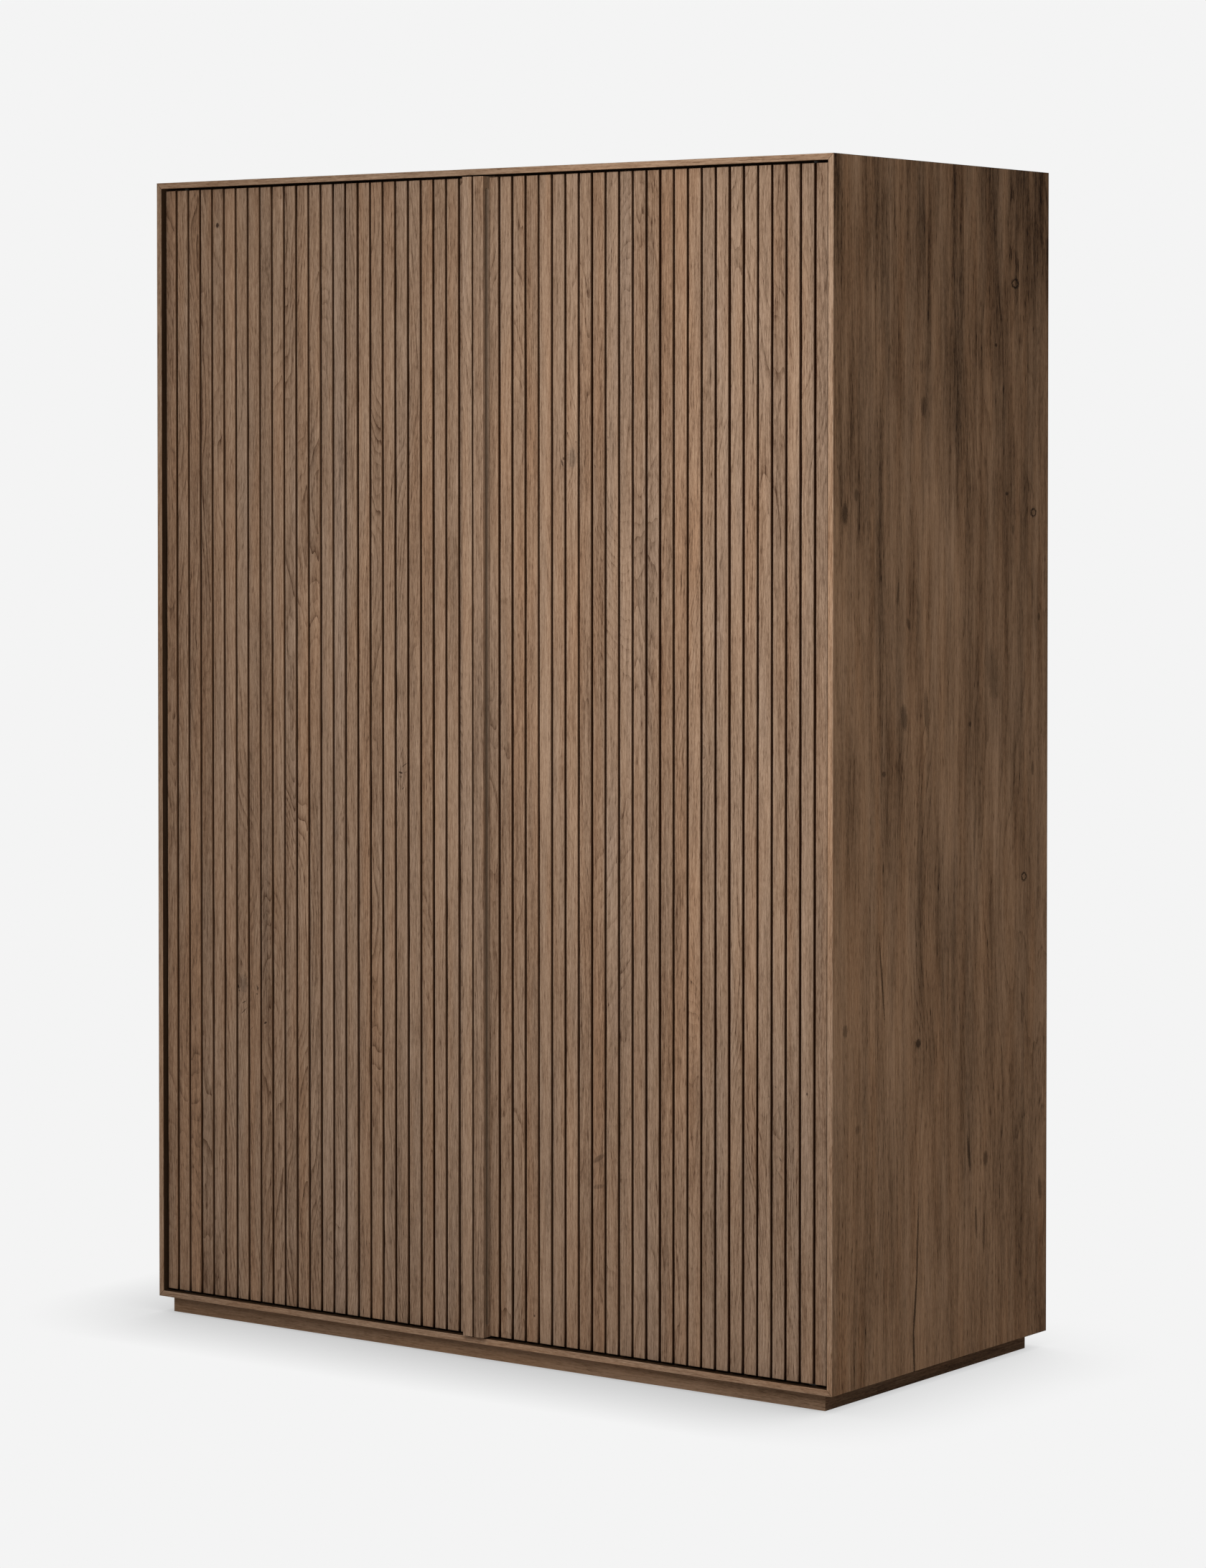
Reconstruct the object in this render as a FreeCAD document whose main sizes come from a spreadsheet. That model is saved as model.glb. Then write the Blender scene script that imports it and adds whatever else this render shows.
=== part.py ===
import FreeCAD, Part
import os
import Sketcher

# A tall cupboard with two slatted doors hung on concealed pivots.
# Millimetres. +X is right, +Y is back and +Z is up, seen from the front.
# The origin is on the floor, under the middle of the whole outline.

SIZES = {
    # Case: four boards mitred at the corners, thinned at the front to a lip that frames the doors
    "case_width": 1400.0,
    "case_depth": 650.0,
    "overall_height": 1960.0,
    "panel_thickness": 22.0,
    "lip_thickness": 10.0,
    "edge_round": 1.0,
    "spline_width": 16.0,
    "spline_thickness": 4.0,
    "spline_inset": 30.0,
    # Plinth, set back under the case
    "plinth_height": 27.0,
    "plinth_front_setback": 14.5,
    "plinth_side_setback": 22.0,
    "plinth_back_setback": 32.0,
    "plinth_thickness": 20.0,
    "block_side": 60.0,
    # Partition, back boards, shelves and the battens under the shelves
    "partition_thickness": 22.0,
    "housing_depth": 6.0,
    "back_thickness": 9.0,
    "back_lap": 11.0,
    "back_gap": 0.5,
    "back_recess": 2.0,
    "shelf_count": 3,
    "shelf_thickness": 20.0,
    "shelf_setback": 5.0,
    "shelf_gap": 1.0,
    "batten_height": 20.0,
    "batten_thickness": 14.0,
    "batten_inset": 20.0,
    "batten_bevel": 12.0,
    # Doors: upright slats glued to a flat board, with a grip along the meeting edge
    "reveal": 7.0,
    "door_gap": 4.0,
    "meeting_gap": 3.0,
    "board_thickness": 20.0,
    "slat_thickness": 8.0,
    "slat_count": 25,
    "slat_gap": 4.6,
    "slat_arris": 0.8,
    "grip_slat_trim": 4.3,
    "grip_width": 20.0,
    "grip_stand": 17.0,
    "grip_round": 1.5,
    "grip_overhang": 1.0,
    "cove_radius": 4.8,
    "cove_land": 0.6,
    "cove_stop": 18.0,
    # Pivots: a plate with a pin in each end of a door, a bush in each lip and a washer under the door
    "pivot_inset": 34.0,
    "pivot_radius": 4.0,
    "pivot_end_room": 1.0,
    "bush_radius": 6.5,
    "bush_cover": 3.0,
    "washer_radius": 9.0,
    "lip_clearance": 0.7,
    "swing_room": 2.5,
    "plate_length": 70.0,
    "plate_width": 14.0,
    "plate_thickness": 3.0,
    "plate_screw_first": 20.0,
    "plate_screw_pitch": 24.0,
    "screw_head_radius": 3.4,
    "screw_radius": 1.7,
    "screw_length": 16.0,
    # Magnets in the partition's front edge, their strikes on the doors, and the pads the doors close on
    "magnet_width": 7.0,
    "magnet_height": 30.0,
    "magnet_depth": 6.0,
    "magnet_inset": 60.0,
    "strike_width": 8.0,
    "strike_height": 34.0,
    "strike_thickness": 1.5,
    "stop_pad_side": 7.0,
    "stop_pad_thickness": 2.0,
    "stop_pad_inset": 130.0,
    # Clearances: a running fit, a let-in fit, the blind end of a hole, and faces that only just miss
    "running_fit": 0.05,
    "let_in_gap": 0.1,
    "end_room": 0.5,
    "touch_gap": 0.3,
}

doc = FreeCAD.newDocument("slatted_cupboard")
dims = doc.addObject("Spreadsheet::Sheet", "dims")
for row, (size_name, size) in enumerate(SIZES.items(), start=1):
    dims.set(f"A{row}", size_name)
    dims.set(f"B{row}", str(size))
    dims.setAlias(f"B{row}", size_name)
doc.recompute()

# Places that several pieces share, as rules over the sheet's cells.
# An offset is measured back from the case's front edge; X, Y and Z places are in the whole frame.
HALF_WIDTH = "dims.case_width / 2"
CASE_HEIGHT = "(dims.overall_height - dims.plinth_height)"
CASE_FRONT_Y = "((dims.grip_stand - dims.reveal - dims.case_depth) / 2)"
BOARD_OFFSET = "(dims.reveal + dims.slat_thickness)"
PIVOT_OFFSET = f"({BOARD_OFFSET} + dims.board_thickness / 2)"
DOOR_BACK_OFFSET = f"({BOARD_OFFSET} + dims.board_thickness)"
PARTITION_OFFSET = f"({DOOR_BACK_OFFSET} + dims.stop_pad_thickness + dims.touch_gap)"
SWING_REACH = "sqrt(dims.pivot_inset ^ 2 + (dims.board_thickness / 2 + dims.slat_thickness) ^ 2)"
SHOULDER_OFFSET = f"({PIVOT_OFFSET} + {SWING_REACH} + dims.swing_room)"
SHELF_OFFSET = f"({SHOULDER_OFFSET} + dims.shelf_setback)"
BACK_OFFSET = "(dims.case_depth - dims.back_recess - dims.back_thickness)"

LIP_BOTTOM_Z = "(dims.plinth_height + dims.lip_thickness)"
LIP_TOP_Z = "(dims.overall_height - dims.lip_thickness)"
DOOR_BOTTOM_Z = f"({LIP_BOTTOM_Z} + dims.door_gap)"
DOOR_HEIGHT = f"({LIP_TOP_Z} - {LIP_BOTTOM_Z} - 2 * dims.door_gap)"
DOOR_LEFT_X = f"(dims.lip_thickness + dims.door_gap - {HALF_WIDTH})"
DOOR_WIDTH = f"(-{DOOR_LEFT_X} - dims.meeting_gap / 2)"
PIVOT_X = f"({DOOR_LEFT_X} + dims.pivot_inset)"
BUSH_DEPTH = "(dims.lip_thickness - dims.bush_cover)"
MEETING_X = "(-(dims.partition_thickness + dims.meeting_gap) / 4)"

BAY_LEFT_X = f"(dims.panel_thickness - {HALF_WIDTH})"
BAY_WIDTH = f"(-{BAY_LEFT_X} - dims.partition_thickness / 2)"
CLEAR_HEIGHT = f"({CASE_HEIGHT} - 2 * dims.panel_thickness)"
SHELF_PITCH = f"(({CLEAR_HEIGHT} + dims.shelf_thickness) / (dims.shelf_count + 1))"
SHELF_DEPTH = f"({BACK_OFFSET} - dims.shelf_gap - {SHELF_OFFSET})"
FIRST_SHELF_Z = f"(dims.plinth_height + dims.panel_thickness + {SHELF_PITCH} - dims.shelf_thickness)"

SLAT_WIDTH = (
    f"(({DOOR_WIDTH} - dims.grip_width + dims.grip_slat_trim"
    " - (dims.slat_count - 1) * dims.slat_gap) / dims.slat_count)"
)
SLAT_PITCH = f"({SLAT_WIDTH} + dims.slat_gap)"
# The slat at the hinge edge stops short of it, so that its front corner clears the lip as the door swings.
HINGE_SLAT_LEFT = (
    "(dims.pivot_inset - sqrt((dims.pivot_inset + dims.door_gap - dims.lip_clearance) ^ 2"
    " - (dims.board_thickness / 2 + dims.slat_thickness) ^ 2))"
)

SPLINE_SLOT_WIDTH = "(dims.spline_width + 2 * dims.end_room)"
SPLINE_OFFSET = f"({SHOULDER_OFFSET} + dims.spline_inset)"
SPLINE_LENGTH = f"({BACK_OFFSET} - dims.spline_inset - {SPLINE_OFFSET})"

SCREW_HOLE = "(dims.screw_radius + dims.let_in_gap)"
PLATE_NEAR_X = "(dims.pivot_inset - dims.plate_width)"

nodes = []


def number(rule):
    """The value that a rule has now."""
    result = dims.evalExpression(rule)
    return float(getattr(result, "Value", result))


def vector(point):
    return FreeCAD.Vector(number(point[0]), number(point[1]), 0)


def place(item, x="0", y="0", z="0"):
    """Ties the place of a piece to the sheet."""
    for axis, rule in (("x", x), ("y", y), ("z", z)):
        item.setExpression(f"Placement.Base.{axis}", rule)


def turn(item, axis, degrees):
    item.Placement.Rotation = FreeCAD.Rotation(FreeCAD.Vector(*axis), degrees)


def keep(item):
    """Marks an object as a finished piece."""
    nodes.append(item)
    return item


def new_body(label):
    body = doc.addObject("PartDesign::Body", label)
    body.Label = label
    return body


def origin_feature(body, role):
    return next(item for item in body.Origin.OriginFeatures if item.Role == role)


def new_sketch(body, name, role, lift="0"):
    """A sketch on one of the body's own origin planes, lifted along that plane's normal."""
    sketch = body.newObject("Sketcher::SketchObject", name)
    sketch.AttachmentSupport = [(origin_feature(body, role), "")]
    sketch.MapMode = "FlatFace"
    sketch.setExpression("AttachmentOffset.Base.z", lift)
    return sketch


def bind_point(sketch, edge, end, x_rule, y_rule):
    for kind, rule in (("DistanceX", x_rule), ("DistanceY", y_rule)):
        index = sketch.addConstraint(Sketcher.Constraint(kind, -1, 1, edge, end, number(rule)))
        sketch.setExpression(f"Constraints[{index}]", rule)


def bind_radius(sketch, edge, rule):
    index = sketch.addConstraint(Sketcher.Constraint("Radius", edge, number(rule)))
    sketch.setExpression(f"Constraints[{index}]", rule)


def join(sketch, line, line_end, arc, point):
    """Joins the end of a line to whichever end of an arc lies on the point."""
    arc_end = 1 if (sketch.getPoint(arc, 1) - point).Length < (sketch.getPoint(arc, 2) - point).Length else 2
    sketch.addConstraint(Sketcher.Constraint("Coincident", line, line_end, arc, arc_end))


def short_of(corner, other):
    """The point one corner radius from a corner towards its neighbour, on an upright or level edge."""
    across = number(other[0]) - number(corner[0])
    upward = number(other[1]) - number(corner[1])
    if abs(across) > abs(upward):
        return f"{corner[0]} {'+' if across > 0 else '-'} {corner[2]}", corner[1]
    return corner[0], f"{corner[1]} {'+' if upward > 0 else '-'} {corner[2]}"


def draw_outline(sketch, corners):
    """A closed outline. A corner is (x, y), or (x, y, radius) where it is rounded, all as rules."""
    ends = []
    for index, corner in enumerate(corners):
        before = corners[index - 1]
        after = corners[(index + 1) % len(corners)]
        rounded = len(corner) == 3
        ends.append((short_of(corner, before), short_of(corner, after)) if rounded else (corner, corner))
    lines = []
    for index, (_, start) in enumerate(ends):
        finish = ends[(index + 1) % len(ends)][0]
        lines.append(sketch.addGeometry(Part.LineSegment(vector(start), vector(finish)), False))
    for index, (arrive, leave) in enumerate(ends):
        line_in = lines[index - 1]
        line_out = lines[index]
        bind_point(sketch, line_out, 1, *leave)
        if len(corners[index]) == 2:
            sketch.addConstraint(Sketcher.Constraint("Coincident", line_in, 2, line_out, 1))
            continue
        bind_point(sketch, line_in, 2, *arrive)
        round_corner(sketch, corners[index], arrive, leave, line_in, line_out)


def round_corner(sketch, corner, arrive, leave, line_in, line_out):
    """The quarter circle between two lines that stop short of a square corner."""
    start = vector(arrive)
    finish = vector(leave)
    centre = start + finish - vector(corner)
    middle = centre + (vector(corner) - centre).normalize() * number(corner[2])
    arc = sketch.addGeometry(Part.Arc(start, middle, finish), False)
    join(sketch, line_in, 2, arc, start)
    join(sketch, line_out, 1, arc, finish)
    bind_radius(sketch, arc, corner[2])


def draw_circle(sketch, x, y, radius):
    circle = Part.Circle(vector((x, y)), FreeCAD.Vector(0, 0, 1), number(radius))
    edge = sketch.addGeometry(circle, False)
    bind_point(sketch, edge, 3, x, y)
    bind_radius(sketch, edge, radius)


def rectangle(x_low, y_low, x_high, y_high):
    return [(x_low, y_low), (x_high, y_low), (x_high, y_high), (x_low, y_high)]


def centred_rectangle(x, y, width, height):
    return rectangle(f"{x} - {width} / 2", f"{y} - {height} / 2", f"{x} + {width} / 2", f"{y} + {height} / 2")


def pad(body, sketch, name, length, symmetric=False, reverse=False):
    feature = body.newObject("PartDesign::Pad", name)
    feature.Profile = sketch
    feature.setExpression("Length", length)
    feature.SideType = "Symmetric" if symmetric else "One side"
    feature.Reversed = reverse
    doc.recompute()
    return feature


def must_cut(body, name, volume_before):
    if body.Shape.Volume >= volume_before:
        raise RuntimeError(f"{name} cuts nothing from {body.Label}")


def pocket(body, sketch, name, depth=None, reverse=False):
    """Cuts a sketch into the body, right through where no depth is given."""
    volume_before = body.Shape.Volume
    feature = body.newObject("PartDesign::Pocket", name)
    feature.Profile = sketch
    feature.Reversed = reverse
    if depth is None:
        feature.Type = "ThroughAll"
    else:
        feature.setExpression("Length", depth)
    doc.recompute()
    must_cut(body, name, volume_before)


def countersink(body, sketch, name):
    """Screw holes right through the body, with a right-angled countersink at the sketch."""
    volume_before = body.Shape.Volume
    hole = body.newObject("PartDesign::Hole", name)
    hole.Profile = sketch
    doc.recompute()
    hole.ThreadType = "None"
    hole.DepthType = "ThroughAll"
    hole.DrillPoint = "Flat"
    hole.HoleCutType = "Countersink"
    hole.HoleCutCountersinkAngle = 90
    hole.setExpression("Diameter", f"2 * {SCREW_HOLE}")
    hole.setExpression("HoleCutDiameter", "2 * (dims.screw_head_radius + dims.let_in_gap)")
    doc.recompute()
    must_cut(body, name, volume_before)


def row_of(body, feature, name, axis, count, spacing):
    """Repeats a feature in a straight row along one of the body's own axes."""
    pattern = body.newObject("PartDesign::LinearPattern", name)
    pattern.Originals = [feature]
    pattern.Direction = (origin_feature(body, axis), [""])
    pattern.Mode = "Spacing"
    pattern.setExpression("Occurrences", count)
    pattern.setExpression("Offset", spacing)
    body.Tip = pattern
    doc.recompute()


def mirrored(source, label):
    """The right-hand twin of a left-hand piece."""
    twin = doc.addObject("Part::Mirroring", label)
    twin.Label = label
    twin.Source = source
    twin.Normal = FreeCAD.Vector(1, 0, 0)
    return twin


def keep_pair(piece):
    """Keeps a left-hand piece and its right-hand twin."""
    keep(piece)
    keep(mirrored(piece, piece.Label.replace("left_", "right_")))


def group(label, items):
    collection = doc.addObject("Part::Compound", label)
    collection.Label = label
    collection.Links = items
    return collection


def keep_both_sides(label, items):
    """Keeps a group of pieces on the left and their twins on the right as one node."""
    left_half = group(f"{label}_left_half", items)
    right_half = mirrored(left_half, f"{label}_right_half")
    keep(group(label, [left_half, right_half]))


def copy_of(source, label):
    link = doc.addObject("App::Link", label)
    link.LinkedObject = source
    return link


def spline_section(side, end, x, z, width):
    """The section of a strip that crosses a mitre at right angles, as four corners.

    side is -1 or 1 for left or right, end is -1 or 1 for bottom or top, and x and z are its middle."""
    corners = []
    for across, thick in ((-1, -1), (-1, 1), (1, 1), (1, -1)):
        x_shift = f"({side * across} * {width} + {side * thick} * dims.spline_thickness) / (2 * sqrt(2))"
        z_shift = f"({-end * across} * {width} + {end * thick} * dims.spline_thickness) / (2 * sqrt(2))"
        corners.append((f"({x}) + {x_shift}", f"({z}) + {z_shift}"))
    return corners


def make_end_panel(label):
    """The top or bottom board, lying with its outer face at zero height and its front at y = 0."""
    body = new_body(label)
    section = new_sketch(body, f"{label}_section", "YZ_Plane")
    draw_outline(section, [
        ("0", "0", "dims.edge_round"),
        ("0", "-dims.lip_thickness", "dims.edge_round"),
        (SHOULDER_OFFSET, "-dims.lip_thickness"),
        (SHOULDER_OFFSET, "-dims.panel_thickness"),
        (BACK_OFFSET, "-dims.panel_thickness"),
        (BACK_OFFSET, "dims.back_lap - dims.panel_thickness"),
        ("dims.case_depth", "dims.back_lap - dims.panel_thickness"),
        ("dims.case_depth", "0"),
    ])
    pad(body, section, f"{label}_board", "dims.case_width", symmetric=True)
    mitres = new_sketch(body, f"{label}_mitre_outline", "XZ_Plane")
    slots = new_sketch(body, f"{label}_spline_outline", "XZ_Plane", f"-{SPLINE_OFFSET}")
    seats = new_sketch(body, f"{label}_bush_outline", "XY_Plane", "-dims.lip_thickness")
    for side in (-1, 1):
        draw_outline(mitres, [
            (f"{side} * ({HALF_WIDTH} + dims.panel_thickness)", "dims.panel_thickness"),
            (f"{side} * ({HALF_WIDTH} + dims.panel_thickness)", "-2 * dims.panel_thickness"),
            (f"{side} * ({HALF_WIDTH} - 2 * dims.panel_thickness)", "-2 * dims.panel_thickness"),
        ])
        middle_x = f"{side} * ({HALF_WIDTH} - dims.panel_thickness / 2)"
        draw_outline(slots, spline_section(side, 1, middle_x, "-dims.panel_thickness / 2", SPLINE_SLOT_WIDTH))
        draw_circle(seats, f"{side} * {PIVOT_X}", PIVOT_OFFSET, "dims.bush_radius + dims.running_fit")
    housing = new_sketch(body, f"{label}_housing_outline", "XY_Plane", "-dims.panel_thickness")
    half_partition = "dims.partition_thickness / 2"
    draw_outline(housing, rectangle(f"-{half_partition}", SHOULDER_OFFSET, half_partition, BACK_OFFSET))
    pocket(body, mitres, f"{label}_mitres")
    pocket(body, slots, f"{label}_spline_slots", SPLINE_LENGTH)
    pocket(body, housing, f"{label}_partition_housing", "dims.housing_depth", reverse=True)
    pocket(body, seats, f"{label}_bush_seats", BUSH_DEPTH, reverse=True)
    return body


def make_side_panel():
    """The left board, standing with its outer face at x = 0 and its front at y = 0."""
    body = new_body("left_side_panel")
    section = new_sketch(body, "side_section", "XY_Plane")
    draw_outline(section, [
        ("0", "0", "dims.edge_round"),
        ("dims.lip_thickness", "0", "dims.edge_round"),
        ("dims.lip_thickness", SHOULDER_OFFSET),
        ("dims.panel_thickness", SHOULDER_OFFSET),
        ("dims.panel_thickness", BACK_OFFSET),
        ("dims.panel_thickness - dims.back_lap", BACK_OFFSET),
        ("dims.panel_thickness - dims.back_lap", "dims.case_depth"),
        ("0", "dims.case_depth"),
    ])
    pad(body, section, "side_board", CASE_HEIGHT)
    mitres = new_sketch(body, "side_mitre_outline", "XZ_Plane")
    slots = new_sketch(body, "side_spline_outline", "XZ_Plane", f"-{SPLINE_OFFSET}")
    for end, level in ((-1, "0"), (1, CASE_HEIGHT)):
        draw_outline(mitres, [
            ("-dims.panel_thickness", f"{level} + {end} * dims.panel_thickness"),
            ("2 * dims.panel_thickness", f"{level} + {end} * dims.panel_thickness"),
            ("2 * dims.panel_thickness", f"{level} - {end} * 2 * dims.panel_thickness"),
        ])
        middle_z = f"{level} - {end} * dims.panel_thickness / 2"
        draw_outline(slots, spline_section(-1, end, "dims.panel_thickness / 2", middle_z, SPLINE_SLOT_WIDTH))
    pocket(body, mitres, "side_mitres")
    pocket(body, slots, "side_spline_slots", SPLINE_LENGTH)
    return body


def make_splines():
    """Four strips glued across the mitres."""
    body = new_body("mitre_splines")
    sketch = new_sketch(body, "spline_outline", "XZ_Plane")
    reach = f"({HALF_WIDTH} - dims.panel_thickness / 2)"
    levels = (
        (-1, "dims.plinth_height + dims.panel_thickness / 2"),
        (1, "dims.overall_height - dims.panel_thickness / 2"),
    )
    for side in (-1, 1):
        for end, level in levels:
            corners = spline_section(side, end, f"{side} * {reach}", level, "dims.spline_width")
            draw_outline(sketch, corners)
    pad(body, sketch, "splines", SPLINE_LENGTH, reverse=True)
    place(body, y=f"{CASE_FRONT_Y} + {SPLINE_OFFSET}")
    return body


def magnet_levels():
    """Heights of the magnets and their strikes, one pair near each end of a door."""
    return [f"({LIP_BOTTOM_Z} + dims.magnet_inset)", f"({LIP_TOP_Z} - dims.magnet_inset)"]


def make_partition():
    """The middle upright, housed in the top and bottom boards and notched around their shoulders."""
    body = new_body("centre_partition")
    outline = new_sketch(body, "partition_outline", "YZ_Plane")
    housed_low = "dims.plinth_height + dims.panel_thickness - dims.housing_depth"
    housed_high = "dims.overall_height - dims.panel_thickness + dims.housing_depth"
    draw_outline(outline, [
        (PARTITION_OFFSET, LIP_BOTTOM_Z),
        (SHOULDER_OFFSET, LIP_BOTTOM_Z),
        (SHOULDER_OFFSET, housed_low),
        (BACK_OFFSET, housed_low),
        (BACK_OFFSET, housed_high),
        (SHOULDER_OFFSET, housed_high),
        (SHOULDER_OFFSET, LIP_TOP_Z),
        (PARTITION_OFFSET, LIP_TOP_Z),
    ])
    pad(body, outline, "partition_board", "dims.partition_thickness", symmetric=True)
    mortises = new_sketch(body, "magnet_mortise_outline", "XZ_Plane", f"-{PARTITION_OFFSET}")
    width = "(dims.magnet_width + 2 * dims.let_in_gap)"
    height = "(dims.magnet_height + 2 * dims.let_in_gap)"
    for side in (-1, 1):
        for level in magnet_levels():
            draw_outline(mortises, centred_rectangle(f"{side} * {MEETING_X}", level, width, height))
    pocket(body, mortises, "magnet_mortises", "dims.magnet_depth")
    place(body, y=CASE_FRONT_Y)
    return body


def make_back_board():
    """The left of two plywood boards in the rebate behind the case, which meet on the partition."""
    body = new_body("left_back_board")
    outline = new_sketch(body, "back_outline", "XZ_Plane")
    edge = "dims.panel_thickness - dims.back_lap + dims.back_gap"
    low = f"dims.plinth_height + {edge}"
    high = f"dims.overall_height - ({edge})"
    draw_outline(outline, rectangle(f"{edge} - {HALF_WIDTH}", low, "-dims.back_gap / 2", high))
    pad(body, outline, "back_solid", "dims.back_thickness", reverse=True)
    place(body, y=f"{CASE_FRONT_Y} + {BACK_OFFSET}")
    return body


def make_case():
    top = keep(make_end_panel("top_panel"))
    place(top, y=CASE_FRONT_Y, z="dims.overall_height")
    bottom = keep(make_end_panel("bottom_panel"))
    turn(bottom, (0, 1, 0), 180)
    place(bottom, y=CASE_FRONT_Y, z="dims.plinth_height")
    side = make_side_panel()
    place(side, f"-{HALF_WIDTH}", CASE_FRONT_Y, "dims.plinth_height")
    keep_pair(side)
    keep(make_splines())
    keep(make_partition())
    keep_pair(make_back_board())


def make_rail(label, length):
    """A plinth rail along +X with its outer face at y = 0 and both ends mitred inwards."""
    body = new_body(label)
    outline = new_sketch(body, f"{label}_outline", "XY_Plane")
    draw_outline(outline, [
        ("0", "0"),
        (length, "0"),
        (f"{length} - dims.plinth_thickness", "dims.plinth_thickness"),
        ("dims.plinth_thickness", "dims.plinth_thickness"),
    ])
    pad(body, outline, f"{label}_solid", "dims.plinth_height")
    return body


def make_corner_block():
    """A three-cornered glue block with its square corner at the origin."""
    body = new_body("corner_block")
    outline = new_sketch(body, "block_outline", "XY_Plane")
    draw_outline(outline, [("0", "0"), ("dims.block_side", "0"), ("0", "dims.block_side")])
    pad(body, outline, "block_solid", "dims.plinth_height")
    return body


def make_plinth():
    """Four rails mitred at the corners, with a glue block in each corner."""
    front_y = f"{CASE_FRONT_Y} + dims.plinth_front_setback"
    back_y = f"{CASE_FRONT_Y} + dims.case_depth - dims.plinth_back_setback"
    half_span = f"({HALF_WIDTH} - dims.plinth_side_setback)"
    depth_span = "(dims.case_depth - dims.plinth_front_setback - dims.plinth_back_setback)"
    rails = (
        ("plinth_front_rail", f"2 * {half_span}", 0, f"-{half_span}", front_y),
        ("plinth_right_rail", depth_span, 90, half_span, front_y),
        ("plinth_back_rail", f"2 * {half_span}", 180, half_span, back_y),
        ("plinth_left_rail", depth_span, 270, f"-{half_span}", back_y),
    )
    for label, length, degrees, x, y in rails:
        rail = keep(make_rail(label, length))
        turn(rail, (0, 0, 1), degrees)
        place(rail, x, y)
    source = make_corner_block()
    block_x = f"dims.plinth_thickness - {half_span}"
    front_block = copy_of(source, "front_corner_block")
    place(front_block, block_x, f"{front_y} + dims.plinth_thickness")
    back_block = copy_of(source, "back_corner_block")
    turn(back_block, (0, 0, 1), -90)
    place(back_block, block_x, f"{back_y} - dims.plinth_thickness")
    keep_both_sides("plinth_corner_blocks", [front_block, back_block])


def make_shelf(label):
    """A loose shelf with its front edge at y = 0, eased above and below."""
    body = new_body(label)
    section = new_sketch(body, f"{label}_section", "YZ_Plane")
    arris = "dims.edge_round"
    draw_outline(section, [
        (arris, "0"),
        (SHELF_DEPTH, "0"),
        (SHELF_DEPTH, "dims.shelf_thickness"),
        (arris, "dims.shelf_thickness"),
        ("0", f"dims.shelf_thickness - {arris}"),
        ("0", arris),
    ])
    pad(body, section, f"{label}_solid", f"{BAY_WIDTH} - 2 * dims.shelf_gap")
    return body


def make_battens():
    """The left bay's battens, one at each end of every shelf, bevelled at the front."""
    body = new_body("left_shelf_battens")
    walls = (("outer", BAY_LEFT_X), ("inner", "-dims.partition_thickness / 2 - dims.batten_thickness"))
    for name, wall_x in walls:
        outline = new_sketch(body, f"{name}_batten_outline", "YZ_Plane", wall_x)
        front = f"{SHELF_OFFSET} + dims.batten_inset"
        draw_outline(outline, [
            (front, FIRST_SHELF_Z),
            (front, f"{FIRST_SHELF_Z} - dims.batten_height + dims.batten_bevel"),
            (f"{front} + dims.batten_bevel", f"{FIRST_SHELF_Z} - dims.batten_height"),
            (BACK_OFFSET, f"{FIRST_SHELF_Z} - dims.batten_height"),
            (BACK_OFFSET, FIRST_SHELF_Z),
        ])
        batten = pad(body, outline, f"{name}_batten", "dims.batten_thickness")
        row_of(body, batten, f"{name}_battens", "Z_Axis", "dims.shelf_count", SHELF_PITCH)
    place(body, y=CASE_FRONT_Y)
    return body


def make_shelves():
    """Loose shelves on battens in both bays. Shelf 1 is the lowest."""
    for index in range(int(SIZES["shelf_count"])):
        shelf = make_shelf(f"left_shelf_{index + 1}")
        level = f"{FIRST_SHELF_Z} + {index} * {SHELF_PITCH}"
        place(shelf, f"{BAY_LEFT_X} + dims.shelf_gap", f"{CASE_FRONT_Y} + {SHELF_OFFSET}", level)
        keep_pair(shelf)
    keep_pair(make_battens())


def make_ring(label, outer, height):
    """A ring for a pivot pin to turn in."""
    body = new_body(label)
    outline = new_sketch(body, f"{label}_outline", "XY_Plane")
    draw_circle(outline, "0", "0", outer)
    draw_circle(outline, "0", "0", "dims.pivot_radius + dims.running_fit")
    pad(body, outline, f"{label}_solid", height)
    return body


def make_pivot_seats():
    """Bushes let into both lips, and a washer on the bottom lip that carries each door."""
    y = f"{CASE_FRONT_Y} + {PIVOT_OFFSET}"
    source = make_ring("pivot_bush", "dims.bush_radius", BUSH_DEPTH)
    bushes = []
    for end, z in (("top", LIP_TOP_Z), ("bottom", f"{LIP_BOTTOM_Z} - {BUSH_DEPTH}")):
        bushes.append(copy_of(source, f"{end}_bush"))
        place(bushes[-1], PIVOT_X, y, z)
    keep_pair(group("left_pivot_bushes", bushes))
    washer = make_ring("thrust_washer", "dims.washer_radius", "dims.door_gap - dims.let_in_gap")
    place(washer, PIVOT_X, y, LIP_BOTTOM_Z)
    keep_both_sides("thrust_washers", [washer])


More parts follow.
